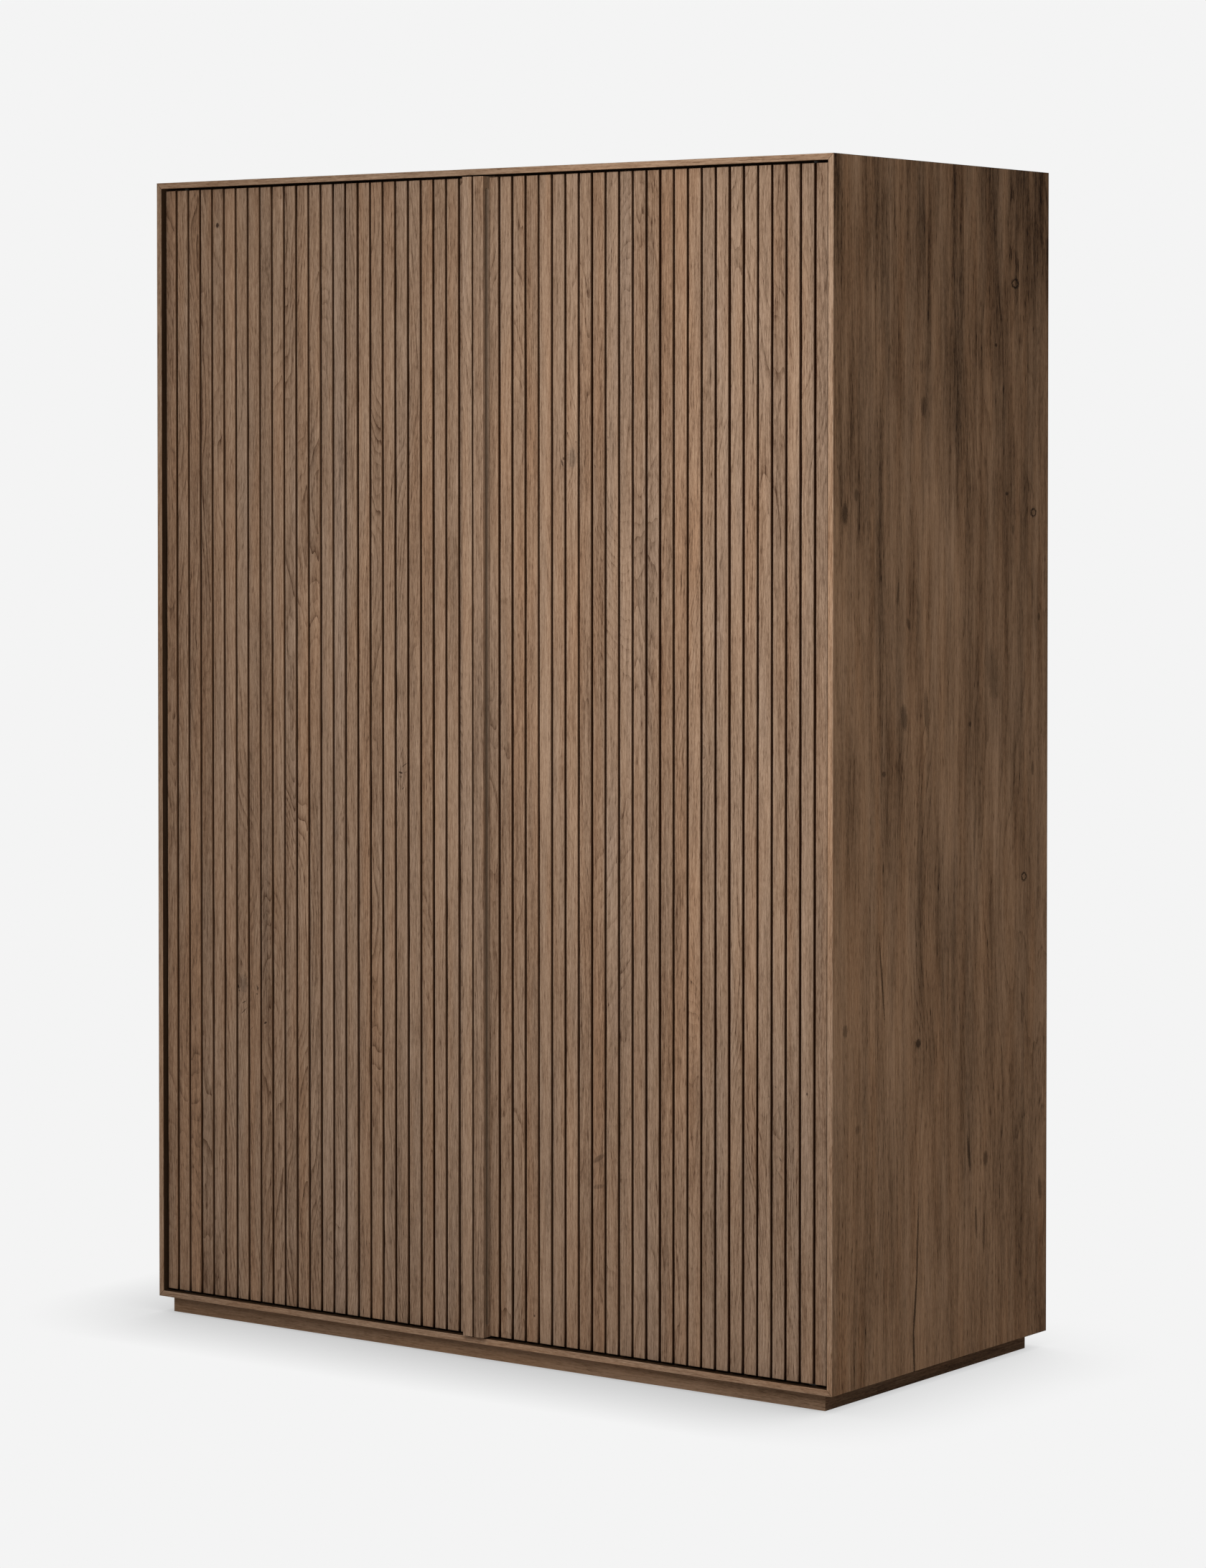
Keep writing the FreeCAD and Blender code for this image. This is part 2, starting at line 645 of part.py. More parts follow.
def make_stops():
    """Magnets let into the partition's front edge, and soft pads on it that the doors close against."""
    front_y = f"{CASE_FRONT_Y} + {PARTITION_OFFSET}"
    magnets = new_body("magnet_pair")
    outline = new_sketch(magnets, "magnet_outline", "XZ_Plane")
    for level in magnet_levels():
        draw_outline(outline, centred_rectangle(MEETING_X, level, "dims.magnet_width", "dims.magnet_height"))
    pad(magnets, outline, "magnets", "dims.magnet_depth", reverse=True)
    place(magnets, y=front_y)
    keep_both_sides("catch_magnets", [magnets])
    pads = new_body("stop_pad_pair")
    outline = new_sketch(pads, "stop_pad_outline", "XZ_Plane")
    for level in (f"{LIP_BOTTOM_Z} + dims.stop_pad_inset", f"{LIP_TOP_Z} - dims.stop_pad_inset"):
        draw_outline(outline, centred_rectangle(MEETING_X, level, "dims.stop_pad_side", "dims.stop_pad_side"))
    pad(pads, outline, "stop_pads", "dims.stop_pad_thickness")
    place(pads, y=front_y)
    keep_both_sides("door_stop_pads", [pads])


def plate_outline(gap):
    """The plan of a pivot plate in the door's own frame, grown by a gap all round."""
    far_x = f"{PLATE_NEAR_X} + dims.plate_length"
    middle = "dims.board_thickness / 2"
    half = "dims.plate_width / 2"
    return rectangle(f"{PLATE_NEAR_X} - {gap}", f"{middle} - {half} - {gap}",
                     f"{far_x} + {gap}", f"{middle} + {half} + {gap}")


def plate_screw_places():
    first = "dims.pivot_inset + dims.plate_screw_first"
    return [first, f"{first} + dims.plate_screw_pitch"]


def draw_plate_screws(sketch):
    for x in plate_screw_places():
        draw_circle(sketch, x, "dims.board_thickness / 2", SCREW_HOLE)


def make_door_board():
    """The flat board behind the slats, with its left edge at x = 0 and its front at y = 0."""
    body = new_body("left_door_board")
    outline = new_sketch(body, "door_outline", "XY_Plane")
    draw_outline(outline, rectangle("0", "0", DOOR_WIDTH, "dims.board_thickness"))
    pad(body, outline, "door_solid", DOOR_HEIGHT)
    for end, level, inward, reverse in (("top", DOOR_HEIGHT, -1, False), ("bottom", "0", 1, True)):
        mortise = new_sketch(body, f"{end}_mortise_outline", "XY_Plane", level)
        draw_outline(mortise, plate_outline("dims.let_in_gap"))
        pocket(body, mortise, f"{end}_mortise", "dims.plate_thickness", reverse)
        floor = f"{level} + {inward} * dims.plate_thickness"
        pilots = new_sketch(body, f"{end}_pilot_outline", "XY_Plane", floor)
        draw_plate_screws(pilots)
        pilot_depth = "dims.screw_length - dims.plate_thickness + dims.end_room"
        pocket(body, pilots, f"{end}_pilots", pilot_depth, reverse)
    place(body, DOOR_LEFT_X, f"{CASE_FRONT_Y} + {BOARD_OFFSET}", DOOR_BOTTOM_Z)
    return body


def slat_section(left, right):
    """A slat in plan: square at the back, with both front edges eased."""
    arris = "dims.slat_arris"
    return [
        (f"{left} + {arris}", "0"),
        (f"{right} - {arris}", "0"),
        (right, arris),
        (right, "dims.slat_thickness"),
        (left, "dims.slat_thickness"),
        (left, arris),
    ]


def make_slats():
    """A row of equal slats between a narrow one at the hinge edge and a narrow one at the grip."""
    body = new_body("left_door_slats")
    inner = new_sketch(body, "inner_slat_outline", "XY_Plane")
    draw_outline(inner, slat_section(SLAT_PITCH, f"{SLAT_PITCH} + {SLAT_WIDTH}"))
    slat = pad(body, inner, "inner_slat", DOOR_HEIGHT)
    row_of(body, slat, "inner_slats", "X_Axis", "dims.slat_count - 2", SLAT_PITCH)
    ends = new_sketch(body, "end_slat_outline", "XY_Plane")
    last_right = f"{DOOR_WIDTH} - dims.grip_width"
    last_left = f"{last_right} - {SLAT_WIDTH} + dims.grip_slat_trim"
    draw_outline(ends, slat_section(HINGE_SLAT_LEFT, SLAT_WIDTH))
    draw_outline(ends, slat_section(last_left, last_right))
    pad(body, ends, "end_slats", DOOR_HEIGHT)
    place(body, DOOR_LEFT_X, f"{CASE_FRONT_Y} + dims.reveal", DOOR_BOTTOM_Z)
    return body


def draw_half_capsule(sketch, low, high, radius):
    """Half of a round-ended slot between two arc centres, its straight side on the vertical axis."""
    bottom = f"{low} - {radius}"
    top = f"{high} + {radius}"
    axis = sketch.addGeometry(Part.LineSegment(vector(("0", top)), vector(("0", bottom))), False)
    wall = sketch.addGeometry(Part.LineSegment(vector((radius, low)), vector((radius, high))), False)
    bind_point(sketch, axis, 1, "0", top)
    bind_point(sketch, axis, 2, "0", bottom)
    bind_point(sketch, wall, 1, radius, low)
    bind_point(sketch, wall, 2, radius, high)
    for level, tip, sign, axis_end, wall_end in ((low, bottom, -1, 2, 1), (high, top, 1, 1, 2)):
        start = vector(("0", tip))
        finish = vector((radius, level))
        middle = vector((f"{radius} / sqrt(2)", f"{level} + {sign} * {radius} / sqrt(2)"))
        arc = sketch.addGeometry(Part.Arc(start, middle, finish), False)
        join(sketch, axis, axis_end, arc, start)
        join(sketch, wall, wall_end, arc, finish)
        bind_radius(sketch, arc, radius)


def make_grip():
    """The upright along the meeting edge, standing in front of the slats, with a cove for the fingers.

    The cove is a round groove with round ends, turned about a line on the flank that faces the slats. A
    narrow land parts it from the slats' faces."""
    body = new_body("left_door_grip")
    depth = "dims.grip_stand + dims.slat_thickness"
    length = f"({DOOR_HEIGHT} + 2 * dims.grip_overhang)"
    outline = new_sketch(body, "grip_outline", "XY_Plane")
    draw_outline(outline, [
        ("0", "0", "dims.grip_round"),
        ("dims.grip_width", "0", "dims.grip_round"),
        ("dims.grip_width", depth),
        ("0", depth),
    ])
    pad(body, outline, "grip_solid", length)
    volume_before = body.Shape.Volume
    cove_behind_face = "(dims.grip_stand - dims.cove_land - dims.cove_radius)"
    cove_outline = new_sketch(body, "cove_outline", "XZ_Plane", f"-{cove_behind_face}")
    low = "(dims.cove_stop + dims.cove_radius)"
    draw_half_capsule(cove_outline, low, f"({length} - {low})", "dims.cove_radius")
    cove = body.newObject("PartDesign::Groove", "cove")
    cove.Profile = cove_outline
    cove.ReferenceAxis = (cove_outline, ["V_Axis"])
    cove.Angle = 360
    doc.recompute()
    must_cut(body, "cove", volume_before)
    x = f"{DOOR_LEFT_X} + {DOOR_WIDTH} - dims.grip_width"
    front_y = f"{CASE_FRONT_Y} + dims.reveal - dims.grip_stand"
    place(body, x, front_y, f"{DOOR_BOTTOM_Z} - dims.grip_overhang")
    return body


def make_pivot_plate():
    """A plate for the top of the door, its upper face at zero height, with the pin that turns in the lip."""
    body = new_body("pivot_plate")
    outline = new_sketch(body, "plate_outline", "XY_Plane")
    draw_outline(outline, plate_outline("0"))
    pad(body, outline, "plate", "dims.plate_thickness", reverse=True)
    pin = new_sketch(body, "pin_outline", "XY_Plane")
    draw_circle(pin, "dims.pivot_inset", "dims.board_thickness / 2", "dims.pivot_radius")
    pad(body, pin, "pin", f"dims.door_gap + {BUSH_DEPTH} - dims.pivot_end_room")
    centres = new_sketch(body, "plate_hole_outline", "XY_Plane")
    draw_plate_screws(centres)
    countersink(body, centres, "plate_holes")
    return body


def make_wood_screw():
    """A countersunk screw, its head flush at the origin and its shank down -Z."""
    body = new_body("wood_screw")
    profile = new_sketch(body, "screw_profile", "XZ_Plane")
    draw_outline(profile, [
        ("0", "0"),
        ("dims.screw_head_radius", "0"),
        ("dims.screw_radius", "dims.screw_radius - dims.screw_head_radius"),
        ("dims.screw_radius", "-dims.screw_length"),
        ("0", "-dims.screw_length"),
    ])
    turned = body.newObject("PartDesign::Revolution", "screw_solid")
    turned.Profile = profile
    turned.ReferenceAxis = (profile, ["V_Axis"])
    turned.Angle = 360
    doc.recompute()
    return body


def make_door_pivots():
    """The plates in both ends of the left door, and two screws in each."""
    plate = make_pivot_plate()
    screw = make_wood_screw()
    front_y = f"{CASE_FRONT_Y} + {BOARD_OFFSET}"
    plates = []
    screws = []
    ends = (
        ("top", 0, front_y, f"{DOOR_BOTTOM_Z} + {DOOR_HEIGHT}"),
        ("bottom", 180, f"{front_y} + dims.board_thickness", DOOR_BOTTOM_Z),
    )
    for end, degrees, y, z in ends:
        plates.append(copy_of(plate, f"{end}_plate"))
        turn(plates[-1], (1, 0, 0), degrees)
        place(plates[-1], DOOR_LEFT_X, y, z)
        for x in plate_screw_places():
            screws.append(copy_of(screw, f"{end}_screw_{len(screws) + 1}"))
            turn(screws[-1], (1, 0, 0), degrees)
            place(screws[-1], f"{DOOR_LEFT_X} + {x}", f"{front_y} + dims.board_thickness / 2", z)
    return [group("left_pivot_plates", plates), group("left_pivot_screws", screws)]


def make_strikes():
    """The steel plates on the back of the left door that the magnets pull on."""
    body = new_body("left_strike_plates")
    outline = new_sketch(body, "strike_outline", "XZ_Plane")
    for level in magnet_levels():
        draw_outline(outline, centred_rectangle(MEETING_X, level, "dims.strike_width", "dims.strike_height"))
    pad(body, outline, "strikes", "dims.strike_thickness", reverse=True)
    place(body, y=f"{CASE_FRONT_Y} + {DOOR_BACK_OFFSET}")
    return body


def make_doors():
    """Everything that swings with the left door, each with its right-hand twin."""
    for piece in [make_door_board(), make_slats(), make_grip(), make_strikes(), *make_door_pivots()]:
        keep_pair(piece)


def check_document():
    for item in doc.Objects:
        if "Invalid" in item.State or "Error" in item.State:
            raise RuntimeError(f"{item.Label} failed to build: {item.State}")
    for node in nodes:
        if node.Shape.isNull() or not node.Shape.isValid():
            raise RuntimeError(f"{node.Label} has no valid shape")


make_case()
make_plinth()
make_shelves()
make_pivot_seats()
make_stops()
make_doors()
doc.recompute()
check_document()

os.makedirs("parts", exist_ok=True)
for node in nodes:
    node.Shape.exportStep(f"parts/{node.Label}.step")
print(len(nodes), "nodes,", sum(len(node.Shape.Solids) for node in nodes), "solids")
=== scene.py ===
import math
import random

import bmesh
import bpy
from mathutils import Matrix, Vector, noise


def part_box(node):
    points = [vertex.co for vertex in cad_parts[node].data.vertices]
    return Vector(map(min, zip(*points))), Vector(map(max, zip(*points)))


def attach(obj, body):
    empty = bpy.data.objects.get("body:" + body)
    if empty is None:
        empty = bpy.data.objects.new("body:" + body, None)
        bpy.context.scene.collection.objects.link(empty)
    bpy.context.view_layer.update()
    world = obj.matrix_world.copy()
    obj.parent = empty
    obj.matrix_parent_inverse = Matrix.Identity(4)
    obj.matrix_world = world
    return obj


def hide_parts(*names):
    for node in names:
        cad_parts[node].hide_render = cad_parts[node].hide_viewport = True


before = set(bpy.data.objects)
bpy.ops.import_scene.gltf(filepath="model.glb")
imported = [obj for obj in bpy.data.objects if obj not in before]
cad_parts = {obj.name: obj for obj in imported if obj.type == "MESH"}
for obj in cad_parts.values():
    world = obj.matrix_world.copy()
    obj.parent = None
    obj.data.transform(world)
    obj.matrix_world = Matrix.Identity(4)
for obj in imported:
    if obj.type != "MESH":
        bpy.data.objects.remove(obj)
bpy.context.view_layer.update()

# A tall oak cupboard: a case and two slatted doors. Metres. The doors face -Y and +Z is up.
MM = 0.001
SIDES = ("left", "right")

# The camera stands to the right of the front and looks a little down, as in the photograph.
VIEW_TURN = math.radians(36.3)
VIEW_DROP = math.radians(1.4)
VIEW_DISTANCE = 7.586
VIEW_TARGET = Vector((0.0232, 0.0, 1.3316))
VIEW_LENS = 102.7
VIEW_SHIFT_UP = -0.15
SENSOR_WIDTH = 36.0


def srgb(red, green, blue):
    """A colour as it looks on screen, from 0 to 255, as the linear colour that a shader takes."""
    def linear(level):
        level /= 255
        return level / 12.92 if level <= 0.04045 else ((level + 0.055) / 1.055) ** 2.4
    return (linear(red), linear(green), linear(blue), 1.0)


class Graph:
    """A node tree written as calls, which add nodes and return the sockets that these give out."""

    def __init__(self, tree):
        self.tree = tree

    def feed(self, socket, value):
        if isinstance(value, bpy.types.NodeSocket):
            self.tree.links.new(value, socket)
        else:
            socket.default_value = value

    def add(self, kind, inputs=(), output=0, **settings):
        node = self.tree.nodes.new(kind)
        for name, value in settings.items():
            setattr(node, name, value)
        for key, value in dict(inputs).items():
            self.feed(node.inputs[key], value)
        return node.outputs[output]

    def math(self, operation, *values, clamp=False):
        return self.add("ShaderNodeMath", enumerate(values), operation=operation, use_clamp=clamp)

    def vector_math(self, operation, *values):
        output = "Value" if operation in ("LENGTH", "DOT_PRODUCT") else "Vector"
        return self.add("ShaderNodeVectorMath", enumerate(values), output, operation=operation)

    def combine(self, x, y, z):
        return self.add("ShaderNodeCombineXYZ", {"X": x, "Y": y, "Z": z})

    def separate(self, vector):
        return self.add("ShaderNodeSeparateXYZ", {"Vector": vector}).node.outputs[:]

    def mix(self, factor, first, second, blend="MIX"):
        # The node has sockets for numbers and vectors before those for colours.
        inputs = {0: factor, 6: first, 7: second}
        return self.add("ShaderNodeMix", inputs, 2, data_type="RGBA", blend_type=blend)

    def tinted(self, colour, tint):
        return self.mix(1.0, colour, tint, "MULTIPLY")

    def clamped(self, value):
        return self.math("ADD", value, 0.0, clamp=True)

    def fade(self, value, start, end, low=0.0, high=1.0):
        """Goes smoothly from low to high as the value goes from start to end."""
        inputs = {"Value": value, "From Min": start, "From Max": end, "To Min": low, "To Max": high}
        return self.add("ShaderNodeMapRange", inputs, interpolation_type="SMOOTHSTEP")

    def speckle(self, vector, scale, detail=2.0, roughness=0.5):
        inputs = {"Vector": vector, "Scale": scale, "Detail": detail, "Roughness": roughness}
        return self.add("ShaderNodeTexNoise", inputs)

    def streaks(self, vector, offset, across, along, detail=2.0, roughness=0.5):
        """Noise drawn out along Z: across and along are how many features there are in a metre."""
        scaled = self.vector_math("MULTIPLY", vector, (across, across, along))
        return self.speckle(self.vector_math("ADD", scaled, offset), 1.0, detail, roughness)

    def around_zero(self, value, size):
        """Noise moved to lie about zero, and scaled."""
        return self.math("MULTIPLY", self.math("SUBTRACT", value, 0.5), size)

    def total(self, *values):
        result = values[0]
        for value in values[1:]:
            result = self.math("ADD", result, value)
        return result

    def group(self, tree, **inputs):
        """Places a shader group and returns its outputs.

        The argument ring_width feeds the input Ring Width."""
        node = self.tree.nodes.new("ShaderNodeGroup")
        node.node_tree = tree
        for name, value in inputs.items():
            self.feed(node.inputs[name.replace("_", " ").title()], value)
        return node.outputs

    def seen_directly(self):
        """One where the camera, a mirror or glass sees the surface, and zero where light bounces off it."""
        path = self.tree.nodes.new("ShaderNodeLightPath").outputs
        by_metal_or_glass = self.math("MAXIMUM", path["Is Glossy Ray"], path["Is Transmission Ray"])
        return self.math("MAXIMUM", path["Is Camera Ray"], by_metal_or_glass)


def new_group(name, inputs, outputs):
    """A shader group. Each input is a name, a kind and a default, and each output a name and a kind."""
    tree = bpy.data.node_groups.new(name, "ShaderNodeTree")
    for socket_name, kind, default in inputs:
        socket = tree.interface.new_socket(socket_name, in_out="INPUT", socket_type=f"NodeSocket{kind}")
        socket.default_value = default
    for socket_name, kind in outputs:
        tree.interface.new_socket(socket_name, in_out="OUTPUT", socket_type=f"NodeSocket{kind}")
    given = tree.nodes.new("NodeGroupInput").outputs
    gives = tree.nodes.new("NodeGroupOutput").inputs
    return Graph(tree), given, gives


ORIGIN = (0.0, 0.0, 0.0)
WHITE = (1.0, 1.0, 1.0, 1.0)
FIGURE_INPUTS = (
    ("Vector", "Vector", ORIGIN),
    ("Seed", "Float", 0.0),
    ("Pith Across", "Float", 0.1),
    ("Pith Depth", "Float", 0.04),
    ("Ring Width", "Float", 0.003),
    ("Swirl", "Float", 0.0),
)
# How far one step of a board's seed moves its noise along each axis.
SEED_STEPS = (3.1, 5.7, 1.9)


def make_oak_figure():
    """What a saw cuts from an oak log, for a board whose grain runs along Z.

    The rings are circles about a pith that lies Pith Across to the side and Pith Depth below the face,
    bent by noise, so that a board near the pith shows arches and one far from it shows stripes."""
    outputs = (("Rings", "Float"), ("Fibre", "Float"), ("Streak", "Float"), ("Pores", "Float"))
    graph, given, gives = new_group("oak_figure", FIGURE_INPUTS, outputs)
    vector = given["Vector"]
    seed = given["Seed"]
    offset = graph.combine(*(graph.math("MULTIPLY", seed, step) for step in SEED_STEPS))
    x, y, _ = graph.separate(vector)
    slow_bend = graph.streaks(vector, offset, across=5.0, along=1.5, detail=1.0)
    quick_bend = graph.streaks(vector, offset, across=26.0, along=4.0)
    across = graph.total(
        graph.math("SUBTRACT", x, given["Pith Across"]),
        graph.around_zero(slow_bend, size=0.050),
        graph.around_zero(quick_bend, size=0.008))
    depth = graph.total(
        given["Pith Depth"],
        y,
        graph.around_zero(slow_bend, size=0.120),
        graph.around_zero(quick_bend, size=-0.012))
    reach = graph.vector_math("LENGTH", graph.combine(across, depth, 0.0))
    years = graph.math("ADD", graph.math("DIVIDE", reach, given["Ring Width"]), given["Swirl"])
    early_wood = graph.math("POWER", graph.math("SUBTRACT", 1.0, graph.math("FRACT", years)), 3.4)
    this_year = graph.math("FLOOR", years)
    year_draw = graph.add("ShaderNodeTexWhiteNoise", {"W": this_year}, noise_dimensions="1D")
    year_strength = graph.math("MULTIPLY_ADD", year_draw, 0.7, 0.3)
    patches = graph.streaks(vector, offset, across=9.0, along=1.2, detail=1.0)
    shows = graph.fade(patches, 0.36, 0.62, low=0.2)
    rings = graph.math("MULTIPLY", graph.math("MULTIPLY", early_wood, year_strength), shows)
    graph.feed(gives["Rings"], rings)
    long_fibre = graph.streaks(vector, offset, across=420.0, along=18.0, detail=4.0)
    short_fibre = graph.streaks(vector, offset, across=760.0, along=110.0, detail=3.0, roughness=0.7)
    graph.feed(gives["Fibre"], graph.math("MULTIPLY", graph.total(long_fibre, short_fibre), 0.5))
    graph.feed(gives["Streak"], graph.streaks(vector, offset, across=70.0, along=3.0, detail=4.0))
    dashes = graph.streaks(vector, offset, across=640.0, along=50.0, detail=1.0)
    pores = graph.fade(dashes, 0.55, 0.70)
    deeper_in_rings = graph.math("MULTIPLY_ADD", rings, 1.2, 0.6)
    graph.feed(gives["Pores"], graph.math("MULTIPLY", pores, deeper_in_rings))
    return graph.tree


# About a knot, the way along the grain counts for less, so its rings and stain are drawn out that way.
KNOT_RINGS_ALONG = 0.4
KNOT_STAIN_ALONG = 0.6
# How many rings a knot pushes aside at its centre, and how fast that dies away.
KNOT_PUSH = 6.0
KNOT_FALL = -0.10


def make_knot():
    """The wood about one knot: the turn that it gives the rings, how far that shows, and a grey stain."""
    inputs = (
        ("Vector", "Vector", ORIGIN),
        ("Centre", "Vector", ORIGIN),
        ("Size", "Float", 0.01),
        ("Ragged", "Float", 0.5),
    )
    outputs = (("Swirl", "Float"), ("Halo", "Float"), ("Stain", "Float"))
    graph, given, gives = new_group("knot", inputs, outputs)
    x, _, z = graph.separate(graph.vector_math("SUBTRACT", given["Vector"], given["Centre"]))

    def distance(along):
        flat = graph.combine(x, 0.0, graph.math("MULTIPLY", z, along))
        return graph.math("DIVIDE", graph.vector_math("LENGTH", flat), given["Size"])

    turn = distance(KNOT_RINGS_ALONG)
    square = graph.math("MULTIPLY", turn, turn)
    halo = graph.math("EXPONENT", graph.math("MULTIPLY", square, KNOT_FALL))
    graph.feed(gives["Swirl"], graph.math("MULTIPLY", halo, KNOT_PUSH))
    graph.feed(gives["Halo"], halo)
    stained = graph.math("ADD", distance(KNOT_STAIN_ALONG), graph.around_zero(given["Ragged"], size=2.4))
    graph.feed(gives["Stain"], graph.fade(stained, 1.4, 0.5))
    return graph.tree


def make_mark():
    """One dark mark in the grain, such as a bark pocket or a split: a ragged spot, drawn out and leaning.

    Along and Across measure the way from the centre in half lengths and half widths.
    A hollow mark is a ring."""
    inputs = (
        ("Vector", "Vector", ORIGIN),
        ("Centre", "Vector", ORIGIN),
        ("Along", "Vector", ORIGIN),
        ("Across", "Vector", ORIGIN),
        ("Depth", "Float", 1.0),
        ("Hollow", "Float", 0.0),
        ("Ragged", "Float", 0.5),
    )
    graph, given, gives = new_group("mark", inputs, (("Mark", "Float"),))
    away = graph.vector_math("SUBTRACT", given["Vector"], given["Centre"])
    along = graph.vector_math("DOT_PRODUCT", away, given["Along"])
    across = graph.vector_math("DOT_PRODUCT", away, given["Across"])
    smooth = graph.vector_math("LENGTH", graph.combine(along, across, 0.0))
    far = graph.math("ADD", smooth, graph.around_zero(given["Ragged"], size=1.1))
    middle = graph.math("MULTIPLY", graph.fade(far, 0.8, 0.55), given["Hollow"])
    spot = graph.math("SUBTRACT", graph.fade(far, 1.3, 0.7), middle)
    graph.feed(gives["Mark"], graph.math("MULTIPLY", spot, given["Depth"], clamp=True))
    return graph.tree


MIDDLE_TONE = 0.60
OAK_ROUGHNESS = 0.62
RED_TINT = (1.07, 0.97, 0.88, 1.0)
GREY_TINT = (0.95, 1.0, 1.08, 1.0)
KNOT_TINT = (0.80, 0.86, 0.93, 1.0)
# Keeps the noise that tints the oak apart from the noise that clouds it.
TINT_OFFSET = (9.0, 4.0, 7.0)


def make_stained_oak():
    """The colour, roughness and relief of brushed and stained oak, from its figure, knots and wear."""
    inputs = FIGURE_INPUTS + (
        ("Tone", "Float", 0.0),
        ("Hue", "Float", 0.0),
        ("Figure", "Float", 0.3),
        ("Streaks", "Float", 0.3),
        ("Clouds", "Float", 0.4),
        ("Fibres", "Float", 2.0),
        ("Knot", "Float", 0.0),
        ("Stain", "Float", 0.0),
        ("Wear", "Float", 0.0),
        ("Light", "Color", WHITE),
        ("Dark", "Color", WHITE),
    )
    outputs = (("Color", "Color"), ("Roughness", "Float"), ("Height", "Float"))
    graph, given, gives = new_group("stained_oak", inputs, outputs)
    vector = given["Vector"]
    seed = given["Seed"]
    figure = graph.group(
        oak_figure,
        vector=vector,
        seed=seed,
        pith_across=given["Pith Across"],
        pith_depth=given["Pith Depth"],
        ring_width=given["Ring Width"],
        swirl=given["Swirl"])
    offset = graph.combine(seed, 0.0, graph.math("MULTIPLY", seed, 2.3))
    cloud = graph.streaks(vector, offset, across=14.0, along=2.4, detail=4.0)
    tint_offset = graph.vector_math("ADD", offset, TINT_OFFSET)
    tint = graph.streaks(vector, tint_offset, across=34.0, along=3.0)
    lightness = graph.total(
        MIDDLE_TONE,
        given["Tone"],
        graph.math("MULTIPLY", graph.around_zero(figure["Streak"], size=2.0), given["Streaks"]),
        graph.math("MULTIPLY", graph.around_zero(cloud, size=1.0), given["Clouds"]),
        graph.around_zero(figure["Fibre"], given["Fibres"]),
        graph.math("MULTIPLY", figure["Rings"], graph.math("MULTIPLY", given["Figure"], -1.0)),
        graph.math("MULTIPLY", figure["Pores"], -0.30),
        graph.math("MULTIPLY", given["Stain"], -0.14),
        graph.math("MULTIPLY", given["Wear"], 0.20))
    plain = graph.mix(graph.clamped(lightness), given["Dark"], given["Light"])
    # The dark grain drinks more of the stain, so it is warmer than the light grain.
    drunk = graph.math("MULTIPLY", graph.math("SUBTRACT", MIDDLE_TONE, lightness), 1.5)
    warmth = graph.total(graph.around_zero(tint, size=2.4), given["Hue"], drunk)
    reddened = graph.tinted(plain, RED_TINT)
    greyed = graph.tinted(plain, GREY_TINT)
    warmed = graph.mix(graph.clamped(warmth), plain, reddened)
    cooled = graph.mix(graph.math("MULTIPLY", warmth, -1.0, clamp=True), warmed, greyed)
    about_knots = graph.mix(given["Stain"], cooled, graph.tinted(cooled, KNOT_TINT))
    charred = graph.mix(0.9, cooled, given["Dark"], "MULTIPLY")
    graph.feed(gives["Color"], graph.mix(given["Knot"], about_knots, charred))
    roughness = graph.total(
        OAK_ROUGHNESS,
        graph.around_zero(figure["Fibre"], size=0.4),
        graph.math("MULTIPLY", figure["Rings"], 0.10))
    graph.feed(gives["Roughness"], roughness)
    height = graph.total(
        graph.math("MULTIPLY", figure["Rings"], -0.35),
        graph.math("MULTIPLY", figure["Pores"], -0.55),
        graph.around_zero(figure["Fibre"], size=1.2))
    graph.feed(gives["Height"], height)
    return graph.tree


def make_edge_wear():
    """Where the finish is rubbed thin: a ragged line along the edges of a box from Low to High."""
    inputs = (
        ("Vector", "Vector", ORIGIN),
        ("Low", "Vector", ORIGIN),
        ("High", "Vector", ORIGIN),
        ("Width", "Float", 0.002),
    )
    graph, given, gives = new_group("edge_wear", inputs, (("Wear", "Float"),))
    from_low = graph.vector_math("SUBTRACT", given["Vector"], given["Low"])
    to_high = graph.vector_math("SUBTRACT", given["High"], given["Vector"])
    x, y, z = graph.separate(graph.vector_math("MINIMUM", from_low, to_high))
    # An edge is where two of the three distances are small, so the middle one of the three measures it.
    nearer = graph.math("MINIMUM", x, y)
    further = graph.math("MAXIMUM", x, y)
    from_edge = graph.math("MAXIMUM", nearer, graph.math("MINIMUM", further, z))
    ragged = graph.streaks(given["Vector"], ORIGIN, across=90.0, along=60.0, detail=3.0)
    reach = graph.math("MULTIPLY", given["Width"], graph.fade(ragged, 0.35, 0.7, low=0.15, high=1.6))
    graph.feed(gives["Wear"], graph.fade(graph.math("DIVIDE", from_edge, reach), 1.0, 0.0))
    return graph.tree


oak_figure = make_oak_figure()
knot_group = make_knot()
mark_group = make_mark()
stained_oak = make_stained_oak()
edge_wear = make_edge_wear()

# The order of a board's axes once its grain is turned to run along Z.
GRAIN_ORDER = {"X": (1, 2, 0), "Y": (0, 2, 1), "Z": (0, 1, 2)}
OAK_SHEEN = 0.12
VENEER_SHEEN = 0.02
GRAIN_RELIEF = 0.25 * MM
BOARD_WEAR = 1.6 * MM
BOARD_PITH_DEPTH = 0.05

